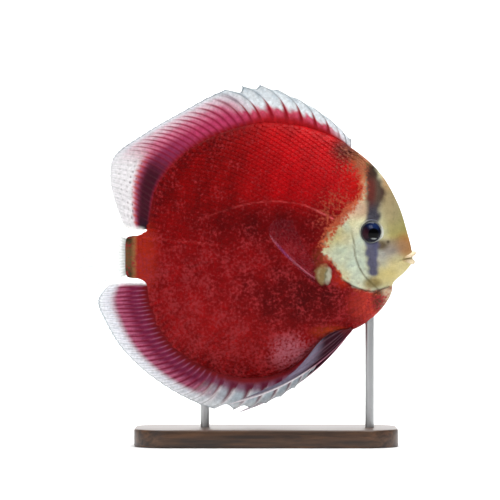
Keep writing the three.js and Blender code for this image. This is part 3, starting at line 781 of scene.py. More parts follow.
def scale_roots(pitch, seed):
    rng = np.random.default_rng(seed)
    xs = np.arange(-68, 74, pitch * 0.92)
    rows = np.arange(-76, 76, pitch)
    grid_x, grid_row = np.meshgrid(xs, rows, indexing="ij")
    grid_row = grid_row + (np.arange(len(xs)) % 2)[:, None] * pitch / 2
    shake = 0.035 * pitch
    x = grid_x.ravel() + rng.normal(0, shake, grid_x.size)
    z = rows_centre(x) + (grid_row * rows_spread(grid_x)).ravel() + rng.normal(0, shake, grid_x.size)
    x = x + COLUMN_BOW * (z - FLANK_Z) ** 2
    angle, share = polar(x, z)
    keep = (reach_at(angle) * (1 - share) > 0.45 * pitch) & (x > -49.5)
    x, z = x[keep], z[keep]
    return x, z, blend(rng.uniform(0, 1, len(x)), 0.5, 0.7 * smooth_flank(x, z))


def skin_at(x, z):
    angle, share = polar(x, z)
    return skin_half(x, z, angle, np.clip(share, 0, 1))


def lay_scales(name, x, z, tint, side, size):
    step = 0.3
    base = np.stack([x, skin_at(x, z), z], axis=1)
    by_x = (np.stack([x + step, skin_at(x + step, z), z], axis=1) - base) / step
    by_z = (np.stack([x, skin_at(x, z + step), z + step], axis=1) - base) / step
    normal = np.cross(by_z, by_x)
    normal /= np.linalg.norm(normal, axis=1, keepdims=True)
    tailward = -(by_x + rows_slope(x, z)[:, None] * by_z)
    tailward *= np.minimum(1, 1.9 / np.linalg.norm(tailward, axis=1, keepdims=True))
    sideways = np.cross(tailward, normal)
    sideways /= np.linalg.norm(sideways, axis=1, keepdims=True)
    sideways *= np.minimum(1.9, np.linalg.norm(by_z, axis=1, keepdims=True))
    grown = (size * rows_spread(x))[:, None, None]
    raised = (min(size, 1) * (1 - 0.5 * smooth_flank(x, z)))[:, None, None]
    a, b, c = scale_points.T
    placed = (
        base[:, None, :]
        + tailward[:, None, :] * a[None, :, None] * grown
        + sideways[:, None, :] * b[None, :, None] * grown
        + normal[:, None, :] * (c + 0.03)[None, :, None] * raised
    )
    placed[..., 1] *= side
    count, each = len(x), len(scale_points)
    mesh = bpy.data.meshes.new(name)
    faces = (np.array(scale_faces)[None] + (np.arange(count) * each)[:, None, None]).reshape(-1, 4)
    if side < 0:
        faces = faces[:, ::-1]
    flat = placed.reshape(-1, 3)
    mesh.from_pydata((flat * MM).tolist(), [], faces.tolist())
    piece = bpy.data.objects.new(name, mesh)
    bpy.context.collection.objects.link(piece)
    paint_fish(piece, flat[:, 0], flat[:, 2])
    keep_values(piece, "tint", np.repeat(tint, each))
    keep_values(piece, "free", np.tile(ease(a, 0.6, 2.1), count))
    lay_patches(piece, x, z, a, b, side)
    face_outwards(piece)
    return piece


# %% [markdown]
# A baked picture of the coat needs a place for every scale. Each one gets a patch about
# three thousandths wide, at its root's place on the skin's own unwrap: direction round the
# flank one way, and the way from the middle of one flank to the other.

# %% Patches for the bake
PATCH = 0.003


def lay_patches(piece, x, z, a, b, side):
    angle, share = polar(x, z)
    across = np.arcsin(np.clip(share, 0, 1) ** (1 / RING_SPREAD)) / math.pi
    root_u = angle / (2 * math.pi) + 0.5
    root_v = across if side > 0 else 1 - across
    patch_u = (a - a.min()) / (a.max() - a.min()) - 0.5
    patch_v = (b - b.min()) / (b.max() - b.min()) - 0.5
    u = np.clip(root_u[:, None] + PATCH * patch_u[None], 0, 1).ravel()
    v = np.clip(root_v[:, None] + PATCH * patch_v[None], 0, 1).ravel()
    corner = np.empty(len(piece.data.loops), dtype=np.int64)
    piece.data.loops.foreach_get("vertex_index", corner)
    layer = piece.data.uv_layers.new(name="OFBake")
    layer.data.foreach_set("uv", np.stack([u[corner], v[corner]], axis=1).ravel())


# %% [markdown]
# A scale is thin, clear bone over coloured skin. Along its free edge the colour is painted a little
# lighter, a painted highlight where the edge would catch light, and each scale differs slightly from the
# next.

# %% Scale finish
def scale_material():
    material, tree, shader = new_material("lacquered resin scales")
    place = node(tree, "TexCoord").outputs["Object"]
    tint, free = (node(tree, "Attribute", {"attribute_name": name}).outputs["Fac"]
        for name in ("tint", "free"))
    tone = node(tree, "MapRange", {}, {"To Min": 0.88, "To Max": 1.1}, {"Value": tint})
    # painted highlight: the colour is made a little lighter towards the scale's free edge
    edge = node(tree, "Math", {"operation": "MULTIPLY_ADD"}, {1: 0.07}, {0: free, 2: tone})
    painted = node(tree, "VectorMath", {"operation": "SCALE"}, {},
        {0: speckled(tree, place), "Scale": edge})
    grain = node(tree, "TexNoise", {}, {"Scale": 1 / (0.4 * MM), "Detail": 3.0}, {"Vector": place})
    bump = node(tree, "Bump", {}, {"Strength": 0.35, "Distance": 0.04 * MM}, {"Height": grain})
    connect(tree, shader, {"Roughness": 0.42, "Specular IOR Level": 0.06},
        {"Base Color": painted, "Normal": bump})
    return material


# %% Lay the coat
scale_lacquer = scale_material()
for side_name, side in SIDES:
    x, z, tint = scale_roots(SCALE_PITCH, 21 if side > 0 else 22)
    on_body = body_scaled(x, z) > 0.5
    for part, chosen in (("upper", on_body & (z >= FLANK_Z)), ("lower", on_body & (z < FLANK_Z))):
        coat = lay_scales(f"scales_{side_name}_{part}", x[chosen], z[chosen], tint[chosen], side, 1.0)
        finish_piece(coat, "flank_skin", scale_lacquer)
    x, z, tint = scale_roots(FACE_PITCH, 23 if side > 0 else 24)
    on_face = face_scaled(x, z) > 0.5
    coat = lay_scales(f"scales_{side_name}_face", x[on_face], z[on_face], tint[on_face], side,
        FACE_PITCH / SCALE_PITCH)
    finish_piece(coat, "head_skin", scale_lacquer)

# %% [markdown]
# The lips are two soft rolls bent round the snout, thickest in front. Each starts as a ball
# whose poles are drawn apart along a curved path, which keeps it closed at the corners.

# %% Rolls along a path
def add_roll(name, path, radius, segments=20, rings=48):
    def shape(around, down):
        t = down / math.pi
        centre = path(t)
        ahead = path(np.clip(t + 0.01, 0, 1)) - path(np.clip(t - 0.01, 0, 1))
        ahead /= np.linalg.norm(ahead, axis=1, keepdims=True)
        up = np.tile([0.0, 0.0, 1.0], (len(t), 1))
        out = np.cross(up, ahead)
        out /= np.linalg.norm(out, axis=1, keepdims=True)
        up = np.cross(ahead, out)
        r = (radius(t) * np.clip(np.sin(down), 0, 1) ** 0.35)[:, None]
        return centre + r * (np.cos(around)[:, None] * out + np.sin(around)[:, None] * up)

    return add_ball(name, segments, rings, shape)


def lip_path(front_x, front_z, corner_z, curl):
    def path(t):
        bend = t * math.pi
        forward = np.clip(np.sin(bend), 0, 1)
        return np.stack([
            blend(MOUTH_CORNER[0], front_x, forward**0.8),
            -np.cos(bend) * MOUTH_HALF_WIDTH,
            blend(corner_z, front_z, forward) + curl * forward**8,
        ], axis=1)

    return path


# %% Lips
def lip_radius(size):
    return lambda t: size * blend(0.15, 1, np.clip(np.sin(t * math.pi), 0, 1) ** 0.75)


upper_lip = add_roll("upper_lip", lip_path(77.45, 85.8, 83.9, 0.5), lip_radius(LIP_RADIUS * 0.84))
lower_lip = add_roll("lower_lip", lip_path(76.75, 82.8, 82.9, -0.35), lip_radius(LIP_RADIUS * 0.96))
for lip, hex_front in ((upper_lip, "#e2cfae"), (lower_lip, "#dccaa8")):
    spots = points_of(lip) / MM
    base = towards(markings(spots[:, 0], spots[:, 2]), "#a8875c", ease(spots[:, 0], 70.5, 73) * 0.6)
    keep_plain(lip, towards(base, hex_front, ease(spots[:, 0], 72.5, 76)))
    finish_piece(lip, "head_skin", skin_lacquer)

# %% [markdown]
# The eye is a ball of polished glass, which takes small sharp highlights. It sits low in its
# socket, with a black pupil, a dark blue iris and a thin silver ring, and a soft rim of skin
# goes round it. The iris is painted by distance from the pupil's centre, which sits a little
# forward of and below the middle of the eye. A small painted highlight lies under the pupil,
# the silver ring is painted brighter on its front side, and a painted highlight sits on the rim.

# %% Eyes
def eye_place(side):
    surface = float(flank_half(EYE_X, EYE_Z))
    return np.array([EYE_X, side * (surface + EYE_PROUD - EYE_DEPTH), EYE_Z])


def turn_about_z(points, degrees):
    c, s = math.cos(math.radians(degrees)), math.sin(math.radians(degrees))
    return points @ np.array([[c, s, 0], [-s, c, 0], [0, 0, 1]])


def eye_shape(side):
    def shape(around, down):
        ball = np.stack([
            np.cos(around) * np.sin(down) * EYE_RADIUS,
            side * np.cos(down) * EYE_DEPTH,
            np.sin(around) * np.sin(down) * EYE_RADIUS,
        ], axis=1)
        return turn_about_z(ball, side * EYE_TURN) + eye_place(side)

    return shape


def iris_paint(local_x, local_z):
    pupil = np.hypot(local_x - 0.55, local_z + 0.7)
    whole = np.hypot(local_x, local_z)
    around = np.degrees(np.arctan2(local_z, local_x))
    lit = hump(around + 25, 62)
    ring = hump(whole - 4.75, 0.26)
    return coats(
        plain("#080b1a", local_x),
        ("#152650", spot(local_x, local_z, (0.8, 2.6), (2.6, 1.4), 0.7) * 0.9),
        ("#2e1119", spot(local_x, local_z, (-3.0, -0.8), (1.5, 2.4), 0.7) * 0.9),
        ("#010102", 1 - ease(pupil, 2.3, 2.6)),
        # painted highlight: a small bright crescent under the pupil
        ("#c4c8c6", spot(local_x, local_z, (0.8, -2.9), (1.2, 0.26), 0.6) * 0.6),
        # the silver ring, painted brighter towards the front as a painted highlight
        ("#d9ddd6", ring * (0.12 + 0.88 * lit)),
        ("#16130f", ease(whole, 5.0, 5.12) * 0.8),
    )


def eye_material():
    material, tree, shader = new_material("polished glass eye")
    paint = node(tree, "Attribute", {"attribute_name": "paint"})
    place = node(tree, "TexCoord").outputs["Object"]
    fibres = node(tree, "TexNoise", {}, {"Scale": 1 / (0.5 * MM), "Detail": 3.0}, {"Vector": place})
    painted = toned(tree, paint, fibres, 0.7, 1.3, 0.0, 1.0)
    connect(tree, shader, {"Roughness": 0.09, "Specular IOR Level": 0.11}, {"Base Color": painted})
    return material


eye_glass = eye_material()
for side_name, side in SIDES:
    eye = add_ball(f"glass_eye_{side_name}", 96, 64, eye_shape(side))
    local = turn_about_z(points_of(eye) / MM - eye_place(side), -side * EYE_TURN)
    keep_values(eye, "paint", iris_paint(local[:, 0], local[:, 2]))
    finish_piece(eye, "eye", eye_glass, f"eye_{side_name}")

    rim = add_named(f"eye_rim_{side_name}", bpy.ops.mesh.primitive_torus_add,
                    major_segments=96, minor_segments=16, major_radius=1, minor_radius=0.25)
    ring_points = points_of(rim)
    around = np.arctan2(ring_points[:, 1], ring_points[:, 0])
    out = np.hypot(ring_points[:, 0], ring_points[:, 1]) - 1
    up = ring_points[:, 2]
    reach = EYE_RADIUS + 0.2 + out * 1.7
    ring = np.stack([np.cos(around) * reach, side * (1.0 + up * 1.8), np.sin(around) * reach], axis=1)
    move_points(rim, turn_about_z(ring, side * EYE_TURN) + eye_place(side))
    face_outwards(rim)
    rim_at = points_of(rim) / MM
    rim_paint = towards(markings(rim_at[:, 0], rim_at[:, 2]), "#6b7086", np.full(len(rim_at), 0.35))
    # painted highlight on the front of the rim of skin round the eye
    glint = spot(rim_at[:, 0], rim_at[:, 2], (62.6, 94.6), (1.6, 3.6), 0.5)
    rim_paint = towards(rim_paint, "#dfe0d6", glint * 0.8)
    keep_plain(rim, rim_paint)
    finish_piece(rim, "head_skin", skin_lacquer)

# %% [markdown]
# A fin is a fold of clear skin held open by rays. The sheet is thin between the rays and
# swells over each one, and soft rays split in two towards the edge. One function builds
# every fin from the line of its roots, the line of its tips and how far each ray bows.

# %% Rays and fins
SIDEWAYS = np.array([0.0, 1.0, 0.0])


def ray_line(root, tip, bow, share):
    chord = tip - root
    sideways = np.stack([-chord[:, 1], chord[:, 0]], axis=1) * bow[:, None]
    control = (root + tip) / 2 + 2 * sideways
    s = share[:, None]
    return (1 - s) ** 2 * root + 2 * s * (1 - s) * control + s**2 * tip


def crest_height(ray, share, last_spine):
    soft_ray = ray > last_spine + 0.5
    split = np.where(soft_ray, 0.2 * ease(share, 0.35, 1.0), 0)
    off = np.abs(ray - np.round(ray))
    width = np.where(soft_ray, 0.15, 0.11)
    return hump(off - split, width)


def membrane_reach(ray, notch):
    frac = ray - np.floor(ray + 1e-6)
    dip = np.interp(frac, [0, 0.04, 0.2, 0.75, 0.92, 1], [0, 0.25, 0.5, 1.0, 0.85, 0])
    return 1 - notch * dip


def add_fin(name, rays, per_ray, rows, last_spine, notch, middle, membrane, ridge):
    """middle gives the sheet's middle points; membrane and ridge give its half thickness."""

    def shape(u, v, side):
        ray = np.round(u * rays * per_ray) / per_ray
        share = v * membrane_reach(ray, notch(ray))
        crest = crest_height(ray, share, last_spine)
        half = membrane(share) + crest * ridge(ray, share)
        return middle(ray, share) + (side * half)[:, None] * SIDEWAYS

    fin = add_sheet(name, rays * per_ray, rows, shape)
    flat_ray, flat_share = sheet_places(rays, per_ray, rows, notch)
    return fin, flat_ray, flat_share, crest_height(flat_ray, flat_share, last_spine)


def sheet_places(rays, per_ray, rows, notch):
    """Each point's ray number and share of the way out, in the sheet's own order of points."""
    probe = add_named("probe", bpy.ops.mesh.primitive_grid_add, x_subdivisions=rays * per_ray,
        y_subdivisions=rows, size=2)
    flat = points_of(probe)
    bpy.data.objects.remove(probe)
    ray = np.round((flat[:, 0] / 2 + 0.5) * rays * per_ray) / per_ray
    share = (flat[:, 1] / 2 + 0.5) * membrane_reach(ray, notch(ray))
    return np.tile(ray, 2), np.tile(share, 2)


# %% [markdown]
# Fin skin is clear where it is thin. The colour of each fin is painted along its rays, and
# a second value, how solid it is, lets light through the membrane towards the edge.

# %% Fin finish
def fin_material():
    material, tree, shader = new_material("clear tinted resin fin")
    place = node(tree, "TexCoord").outputs["Object"]
    paint, solid = (node(tree, "Attribute", {"attribute_name": name}) for name in ("paint", "solid"))
    grain = node(tree, "TexNoise", {}, {"Scale": 1 / (1.2 * MM), "Detail": 4.0, "Roughness": 0.65},
        {"Vector": place})
    bump = node(tree, "Bump", {}, {"Strength": 0.4, "Distance": 0.05 * MM}, {"Height": grain})
    connect(tree, shader, {"Roughness": 0.4, "Specular IOR Level": 0.1},
            {"Base Color": toned(tree, paint, grain, 0.8, 1.2), "Alpha": solid.outputs["Fac"],
                "Normal": bump})
    return material


fin_resin = fin_material()

# %% [markdown]
# The dorsal and anal fins run round the rim of the body. Their rays are given by a few keys:
# ray number, direction of the root, place of the tip and bow. The rest is read between them.

# %% Dorsal and anal fins
DORSAL_KEYS = (
    (0, 48.6, 49.3, 137.7, -0.08), (2, 53.6, 38.9, 147.4, -0.12), (4, 64.8, 24.3, 156.4, -0.15),
    (6, 77.5, 6.5, 162.7, -0.17), (8, 89.5, -7.4, 160, -0.16), (14, 112, -28.4, 149.2, -0.13),
    (20, 128.5, -44.1, 140, -0.11), (26, 143.5, -57.2, 130.5, -0.1), (31, 157, -59.4, 121.2, -0.07),
    (35, 164.5, -57.6, 111, -0.03), (38, 169.6, -53.1, 98.4, 0.09),
)
ANAL_KEYS = (
    (0, -55.5, 31.7, 32.9, 0.08), (2, -67, 23.2, 24.8, 0.11), (4, -80.5, 10.1, 18, 0.14),
    (6, -93.5, -4.5, 15.2, 0.15), (8, -106, -18.7, 18.2, 0.13), (14, -124, -39, 29.5, 0.1),
    (20, -138, -53.5, 42.8, 0.08), (26, -151, -62, 56.5, 0.05), (31, -159, -64.8, 65.4, 0.02),
    (34, -163.4, -60, 72.4, -0.04),
)


RAY_SHIFT, FIN_SWAY = 0.9, 0.35
POINTS_PER_RAY, SHEET_ROWS = 10, 44


def rim_fin(keys):
    """Soft rays lean tailwards: each root sits a little ahead of its tip."""
    def middle(ray, share):
        shift = RAY_SHIFT * ease(ray, 8, 15) * ease(ray, keys[-1][0] - 1, 29)
        root_angle = read_keys(keys, ray - shift)[:, 0]
        tip_x, tip_z, bow = read_keys(keys, ray + shift)[:, 1:].T
        angle = np.radians(root_angle)
        reach = reach_at(angle) - 0.5
        root = np.stack([FLANK_X + np.cos(angle) * reach, FLANK_Z + np.sin(angle) * reach], axis=1)
        line = ray_line(root, np.stack([tip_x, tip_z], axis=1), bow, share)
        wave = FIN_SWAY * np.sin(ray * 0.55) * share**1.5
        return np.stack([line[:, 0], wave, line[:, 1]], axis=1)

    return middle


def rim_membrane(share):
    return blend(0.62, 0.2, share**0.6)


def spine_or_ray(last_spine):
    return lambda ray, share: np.where(ray <= last_spine + 0.5, 0.46, 0.3) * (1 - 0.75 * share)


def spiny_notch(last_spine):
    return lambda ray: np.where(ray <= last_spine, 0.24, 0.02)


def behind_ray(ray, width):
    """1 just behind each ray, falling to 0 at a share of the way to the next."""
    frac = ray - np.floor(ray + 1e-6)
    return 1 - ease(frac, 0.4 * width, width + 1e-6)


def ray_core(ray, width):
    return hump(np.abs(ray - np.round(ray)), width)


def dorsal_paint(ray, share, crest, out):
    front = 1 - ease(ray, 7.5, 11)
    rear = ease(ray, 22, 28)
    streak = np.clip(wander(ray * 6, share * 9, 3.2, 8), -1, 1)
    dusk = ease(ray, 15, 23)
    paint = coats(
        plain("#8c0c16", ray),
        ("#b83a62", ease(share, 0.04, 0.18)),
        ("#6e2446", dusk * ease(share, 0.02, 0.12) * ease(share, 0.5, 0.3) * 0.8),
        ("#d6869f", ease(share, 0.26, 0.56) * (0.7 + 0.3 * streak)),
        ("#e6c6d2", ease(share, 0.52, 0.74)),
        ("#e4e4ea", ease(share, 0.76, 0.93)),
        ("#86082e", ray_core(ray, 0.2) * ease(share, 0.02, 0.08) * ease(share, 0.97, 0.66) * 0.92),
    )

    wedge = behind_ray(ray, np.clip(0.42 * (1 - share / 0.6), 0.001, 1))
    wedge = wedge * ease(share, 0.04, 0.16) * ease(share, 0.6, 0.44)
    pale = coats(
        plain("#a20c14", ray),
        ("#c8506a", ease(share, 0.06, 0.22) * (0.75 + 0.25 * streak)),
        ("#dde4e8", ease(share, 0.22 + 0.05 * streak, 0.36 + 0.05 * streak)),
        ("#b4c4cf", np.clip(streak, 0, 1) * ease(share, 0.4, 0.6) * 0.6),
        ("#dfe4ea", ease(ray, 3.4, 1.2) * ease(share, 0.05, 0.2) * 0.9),
        ("#8a0616", wedge * ease(ray, 1.6, 2.6) * 0.95),
        ("#76828a", crest * ease(share, 0.42, 0.6) * 0.85),
        ("#3c3a44", crest * ease(ray, 2.2, 1.2) * 0.85),
    )
    paint = paint + (pale - paint) * front[:, None]

    between = hump(ray - np.floor(ray) - 0.5, 0.2)
    beat = np.clip(np.sin(share * 52 + 40 * np.sin(np.floor(ray) * 12.9)), 0, 1) ** 2
    thin = 1 - 0.6 * ease(share, 0.54, 0.68)
    dots = between * beat * thin * rear * ease(share, 0.38, 0.5) * ease(share, 0.92, 0.78)
    return coats(
        paint,
        ("#380517", rear * ease(share, 0.02, 0.12) * ease(share, 0.5, 0.26) * 0.95),
        ("#1d1426", ease(ray, 35, 37.5) * ease(share, 0.42, 0.2) * 0.7),
        ("#eceaec", rear * ease(share, 0.42, 0.56) * 0.95),
        ("#4c1c30", dots * ease(wander(ray * 4, share * 22, 2.6, 51), -1.2, -0.1)),
        ("#c84a3c", rear * crest * ease(share, 0.36, 0.44) * ease(share, 0.56, 0.46) * 0.7),
        ("#f6f6f4", ease(ray, 37.2, 38) * ease(share, 0.1, 0.3)),
        ("#66747c", ease(out, 0.955, 0.985) * (1 - rear * 0.75) * 0.85),
    )


def anal_paint(ray, share, crest, out):
    front = 1 - ease(ray, 6.5, 11)
    streak = np.clip(wander(ray * 6, share * 9, 3.2, 18), -1, 1)
    behind = behind_ray(ray, 0.4) * (1 - crest)
    paint = coats(
        plain("#6c0a12", ray),
        ("#6c1a3c", ease(share, 0.06, 0.3)),
        ("#c8688a", ease(share, 0.34, 0.62) * (0.7 + 0.3 * streak)),
        ("#dfe0ea", ease(share, 0.6, 0.8)),
        ("#eceff4", ease(share, 0.82, 0.95)),
        ("#6e0a2a", ray_core(ray, 0.22) * ease(share, 0.2, 0.4) * ease(share, 0.92, 0.64) * 0.92),
        ("#a05a78", ray_core(ray, 0.12) * ease(share, 0.04, 0.14) * ease(share, 0.4, 0.2) * 0.7),
        ("#a03a52", behind * ease(share, 0.1, 0.3) * ease(share, 0.7, 0.5) * 0.5),
    )

    wedge = behind_ray(ray, np.clip(0.85 * (1 - share), 0.001, 1))
    wedge = wedge * ease(share, 0.08, 0.2) * ease(share, 0.92, 0.72)
    pale = coats(
        plain("#7a1018", ray),
        ("#8a6078", ease(share, 0.08, 0.26)),
        ("#b9c6cf", ease(share, 0.24, 0.45)),
        ("#e6ebef", ease(share, 0.55, 0.85)),
        ("#640e2c", wedge * 0.95),
        ("#f4f4f8", crest * ease(share, 0.25, 0.4) * 0.9),
        ("#70787c", behind_ray(ray, 0.3) * (1 - crest) * ease(share, 0.72, 0.86) * 0.7),
    )
    paint = paint + (pale - paint) * front[:, None]
    return coats(
        paint,
        ("#f2f4f8", crest * ease(share, 0.62, 0.85) * 0.8),
        ("#7c8a94", ease(out, 0.955, 0.985) * 0.6),
        ("#f4f3f4", ease(ray, 33, 34) * 0.95),
    )


for name, keys, last_spine, paint_of in (
    ("dorsal_fin", DORSAL_KEYS, 8, dorsal_paint),
    ("anal_fin", ANAL_KEYS, 7, anal_paint),
):
    notch = spiny_notch(last_spine)
    fin, ray, share, crest = add_fin(
        name, keys[-1][0], POINTS_PER_RAY, SHEET_ROWS, last_spine, notch, rim_fin(keys), rim_membrane,
        spine_or_ray(last_spine))
    out = share / membrane_reach(ray, notch(ray))
    keep_values(fin, "paint", paint_of(ray, share, crest, out))
    solid = blend(1.0, 0.76, ease(share, 0.4, 0.9))
    keep_values(fin, "solid", np.clip(solid + 0.25 * crest + 0.3 * ease(out, 0.95, 0.98), 0, 1))
    finish_piece(fin, name, fin_resin, *(f"{name}_{part}" for part in ("spines", "middle", "rear")))

# %% [markdown]
# The tail fin is a fan of fifteen rays from the end of the tail root, clear as glass. In the
# photograph it nearly vanishes against the white, so its length follows the species.

# %% Tail fin
TAIL_TIPS = ((0, -72.8, 66.8), (3, -76.9, 74), (7, -78.7, 84.2), (11, -76.9, 94.6), (14, -72.8, 101))
TAIL_ROOT_X, TAIL_ROOT_LOW, TAIL_ROOT_HIGH, TAIL_RAYS = -51.2, 76.6, 92.8, 14


def tail_middle(ray, share):
    height = blend(TAIL_ROOT_LOW, TAIL_ROOT_HIGH, ray / TAIL_RAYS)
    root = np.stack([np.full(len(ray), TAIL_ROOT_X), height], axis=1)
    tips = read_keys(TAIL_TIPS, ray)
    line = ray_line(root, tips, np.zeros(len(ray)), share)
    return np.stack([line[:, 0], 0.3 * np.sin(ray * 0.8) * share, line[:, 1]], axis=1)


tail, ray, share, crest = add_fin(
    "tail_fin_sheet", TAIL_RAYS, 12, 40, -1, lambda ray: 0.03, tail_middle,
    lambda share: blend(0.9, 0.18, share**0.5),
    lambda ray, share: 0.28 * ease(share, 0.05, 0.3) * (1 - 0.6 * share))
tail_paint = coats(
    plain("#dde3e3", ray),
    ("#a3a698", ease(share, 0.2, 0.02) * 0.8),
    ("#c3cac8", crest * 0.7),
)
keep_values(tail, "paint", tail_paint)
near_root = 1 - ease(share, 0.0, 0.22)
keep_values(tail, "solid", np.clip(0.22 + 0.3 * crest * (1 - near_root) + 0.5 * near_root, 0, 1))
finish_piece(tail, "clear_fin", fin_resin, "tail_fin")

# %% [markdown]
# The pectoral fins stand off the flanks behind the gill covers, on fleshy roots. The pelvic
# fins hang below the breast, and their first ray is drawn out into a long thread.

# %% Pectoral fins
PECTORAL_ROOT = ((0, 33.9, 80.6), (10, 32.7, 73))
PECTORAL_TIPS = ((0, 22.5, 101.4), (3, 15.6, 102), (6, 11.7, 97.9), (8, 13.4, 92), (10, 19, 85.4))
LOBE_X, LOBE_Z = 36.4, 77.2
PECTORAL_RAYS, PECTORAL_SPREAD, STRONG_RAY = 10, 11, 7.4


def pectoral_middle(side):
    root_y = float(flank_half(34.0, 77.0)) - 0.4

    def middle(ray, share):
        root = read_keys(PECTORAL_ROOT, ray)
        tip = read_keys(PECTORAL_TIPS, ray)
        line = ray_line(root, tip, np.full(len(ray), 0.04), share)
        hollow = 1.2 * np.sin(ray / PECTORAL_RAYS * math.pi) * share
        y = side * (root_y + PECTORAL_SPREAD * share**0.85 - hollow)
        return np.stack([line[:, 0], y, line[:, 1]], axis=1)

    return middle


def lobe_shape(side):
    def shape(around, down):
        wide = np.cos(around) * np.sin(down)
        tall = np.sin(around) * np.sin(down)
        proud = np.cos(down)
        wide, tall, proud = (np.sign(v) * np.abs(v) ** 0.85 for v in (wide, tall, proud))
        tailward = np.clip(-wide, 0, 1) ** 2
        x = wide * 3.9 + 0.7 * tall - 1.6 * tailward
        z = tall * 5.2 * (1 - 0.25 * tailward) + 1.6 * tailward - 0.9 * np.clip(wide, 0, 1) ** 2
        y = proud * (1.6 - 0.7 * tailward) - 0.35 * hump(x - 0.16 * z - 1.4, 0.6) * (proud > 0)
        place = np.array([LOBE_X + 0.2, side * (float(flank_half(LOBE_X, LOBE_Z)) - 0.7), LOBE_Z - 0.4])
        return np.stack([x, side * y, z], axis=1) + place

    return shape


for side_name, side in SIDES:
    fan, ray, share, crest = add_fin(
        f"pectoral_fan_{side_name}", PECTORAL_RAYS, 12, 40, -1, lambda ray: 0.03, pectoral_middle(side),
        lambda share: blend(0.34, 0.16, share), lambda ray, share: 0.24 * (1 - 0.6 * share))
    strong = hump(ray - STRONG_RAY, 0.62)
    fan_paint = coats(
        plain("#6c1426", ray),
        ("#94404e", crest * 0.8),
        ("#ac5664", strong),
        ("#7a2a70", strong * spot(share, ray, (0.66, STRONG_RAY), (0.14, 0.9), 0.7) * 0.85),
    )
    keep_values(fan, "paint", fan_paint)
    thread = crest * (0.34 * ease(share, 0.6, 0.1) + 0.05) * ease(ray, 3, 7)
    keep_values(fan, "solid", np.clip(0.09 + thread + 0.62 * strong * (1 - 0.6 * share), 0, 1))
    finish_piece(fan, "clear_fin", fin_resin, f"pectoral_fin_{side_name}")

    lobe = add_ball(f"pectoral_root_{side_name}", 48, 32, lobe_shape(side))
    at = points_of(lobe) / MM
    along, up = at[:, 0] - LOBE_X, at[:, 2] - LOBE_Z
    ragged = wander(along, up, 2.6, 41)
    fold = along - 0.16 * up + 0.25 * ragged
    patch = coats(
        plain("#867048", at),
        ("#a09670", np.clip(ragged, 0, 1) * 0.7),
        ("#a9a893", ease(fold, 1.1, 2.4)),
        # painted shade in the fold of the fin's root, where the relief sinks it
        ("#66664e", hump(fold - 1.3, 0.5) * ease(up, 3.4, 1) * 0.8),
        ("#9a5a3c", ease(up, 2.0, 4.0) * ease(along, 2.5, 0.5) * 0.7),
    )
    rim = np.hypot((along - 0.2) / 4.2, (up + 0.3) / 5.3) + 0.1 * ragged
    own = markings(at[:, 0], at[:, 2])
    lobe_paint = own + (patch - own) * ease(rim, 1.02, 0.6)[:, None]
    keep_plain(lobe, lobe_paint)
    finish_piece(lobe, "clear_fin", skin_lacquer)

# %% Pelvic fins
PELVIC_ROOT = ((0, 50.4, 52.4), (5, 44.6, 52.0))
PELVIC_TIPS = ((0, -6, 18.5), (1, 15, 27.6), (2, 20.2, 31), (3, 25, 35), (5, 32, 42.5))
PELVIC_PIVOT, PELVIC_DROOP = np.array([50.0, 51.3]), 5.0


def pelvic_middle(side):
    droop = math.radians(PELVIC_DROOP) if side > 0 else 0.0
    c, s = math.cos(droop), math.sin(droop)

    def middle(ray, share):
        root = read_keys(PELVIC_ROOT, ray)
        tip = read_keys(PELVIC_TIPS, ray)
        bow = blend(0.09, 0.03, np.minimum(ray / 2, 1)) - 0.14 * ease(ray, 2.5, 5)
        line = ray_line(root, tip, bow, share) - PELVIC_PIVOT
        x = line[:, 0] * c - line[:, 1] * s + PELVIC_PIVOT[0]
        z = line[:, 0] * s + line[:, 1] * c + PELVIC_PIVOT[1]
        return np.stack([x, side * (4.4 + 3.2 * share), z], axis=1)

    return middle


for side_name, side in SIDES:
    pelvic, ray, share, crest = add_fin(
        f"pelvic_sheet_{side_name}", 5, 14, 72, 0, lambda ray: 0.04, pelvic_middle(side),
        lambda share: blend(0.5, 0.16, share**0.7),
        lambda ray, share: np.where(ray < 0.5, 0.42, 0.26) * (1 - 0.7 * share))
    lead = 1 - ease(ray, 0.1, 0.34)
    pelvic_paint = coats(
        plain("#2e0716", ray),
        ("#8a849c", ease(share, 0.4, 0.8) * 0.9),
        ("#6a1418", ease(share, 0.16, 0.02) * 0.7),
        ("#6c4a58", crest * 0.5),
        ("#b9788c", lead * 0.9),
        ("#efeaf0", lead * ease(share, 0.34, 0.5) * 0.95),
        ("#3a3438", behind_ray(ray, 0.45) * (ray < 0.9) * (1 - lead) * ease(share, 0.3, 0.5) * 0.8),
    )
    keep_values(pelvic, "paint", pelvic_paint)
    keep_values(pelvic, "solid", np.clip(blend(1.0, 0.8, ease(share, 0.5, 0.95)) + 0.3 * crest, 0, 1))
    finish_piece(pelvic, "pelvic_fin", fin_resin, f"pelvic_fin_{side_name}")

# %% [markdown]
# The stand is plain so that the fish keeps the eye: a walnut board with rounded corners and
# two steel rods. The board is a cube whose corners and then edges are bevelled. Oil leaves the
# wood's grain showing under a soft gloss, and brushing blurs what the steel reflects.

# %% Wood and steel
def wood_material():
    material, tree, shader = new_material("oiled walnut")
    place = node(tree, "TexCoord").outputs["Object"]
    along = node(tree, "Mapping", {}, {"Scale": (0.08, 1.0, 1.0)}, {"Vector": place})
    knots = {"Scale": 1 / (2.2 * MM), "Detail": 6.0, "Roughness": 0.6, "Distortion": 0.4}
    grain = node(tree, "TexNoise", {}, knots, {"Vector": along})
    shades = node(tree, "ValToRGB", {}, {}, {"Fac": grain})
    dark, light = shades.color_ramp.elements
    dark.position, dark.color = 0.35, rgba("#2a1a10")
    light.position, light.color = 0.68, rgba("#5e3f28")
    bump = node(tree, "Bump", {}, {"Strength": 0.25, "Distance": 0.08 * MM}, {"Height": grain})
    connect(tree, shader, {"Roughness": 0.36}, {"Base Color": shades, "Normal": bump})
    return material


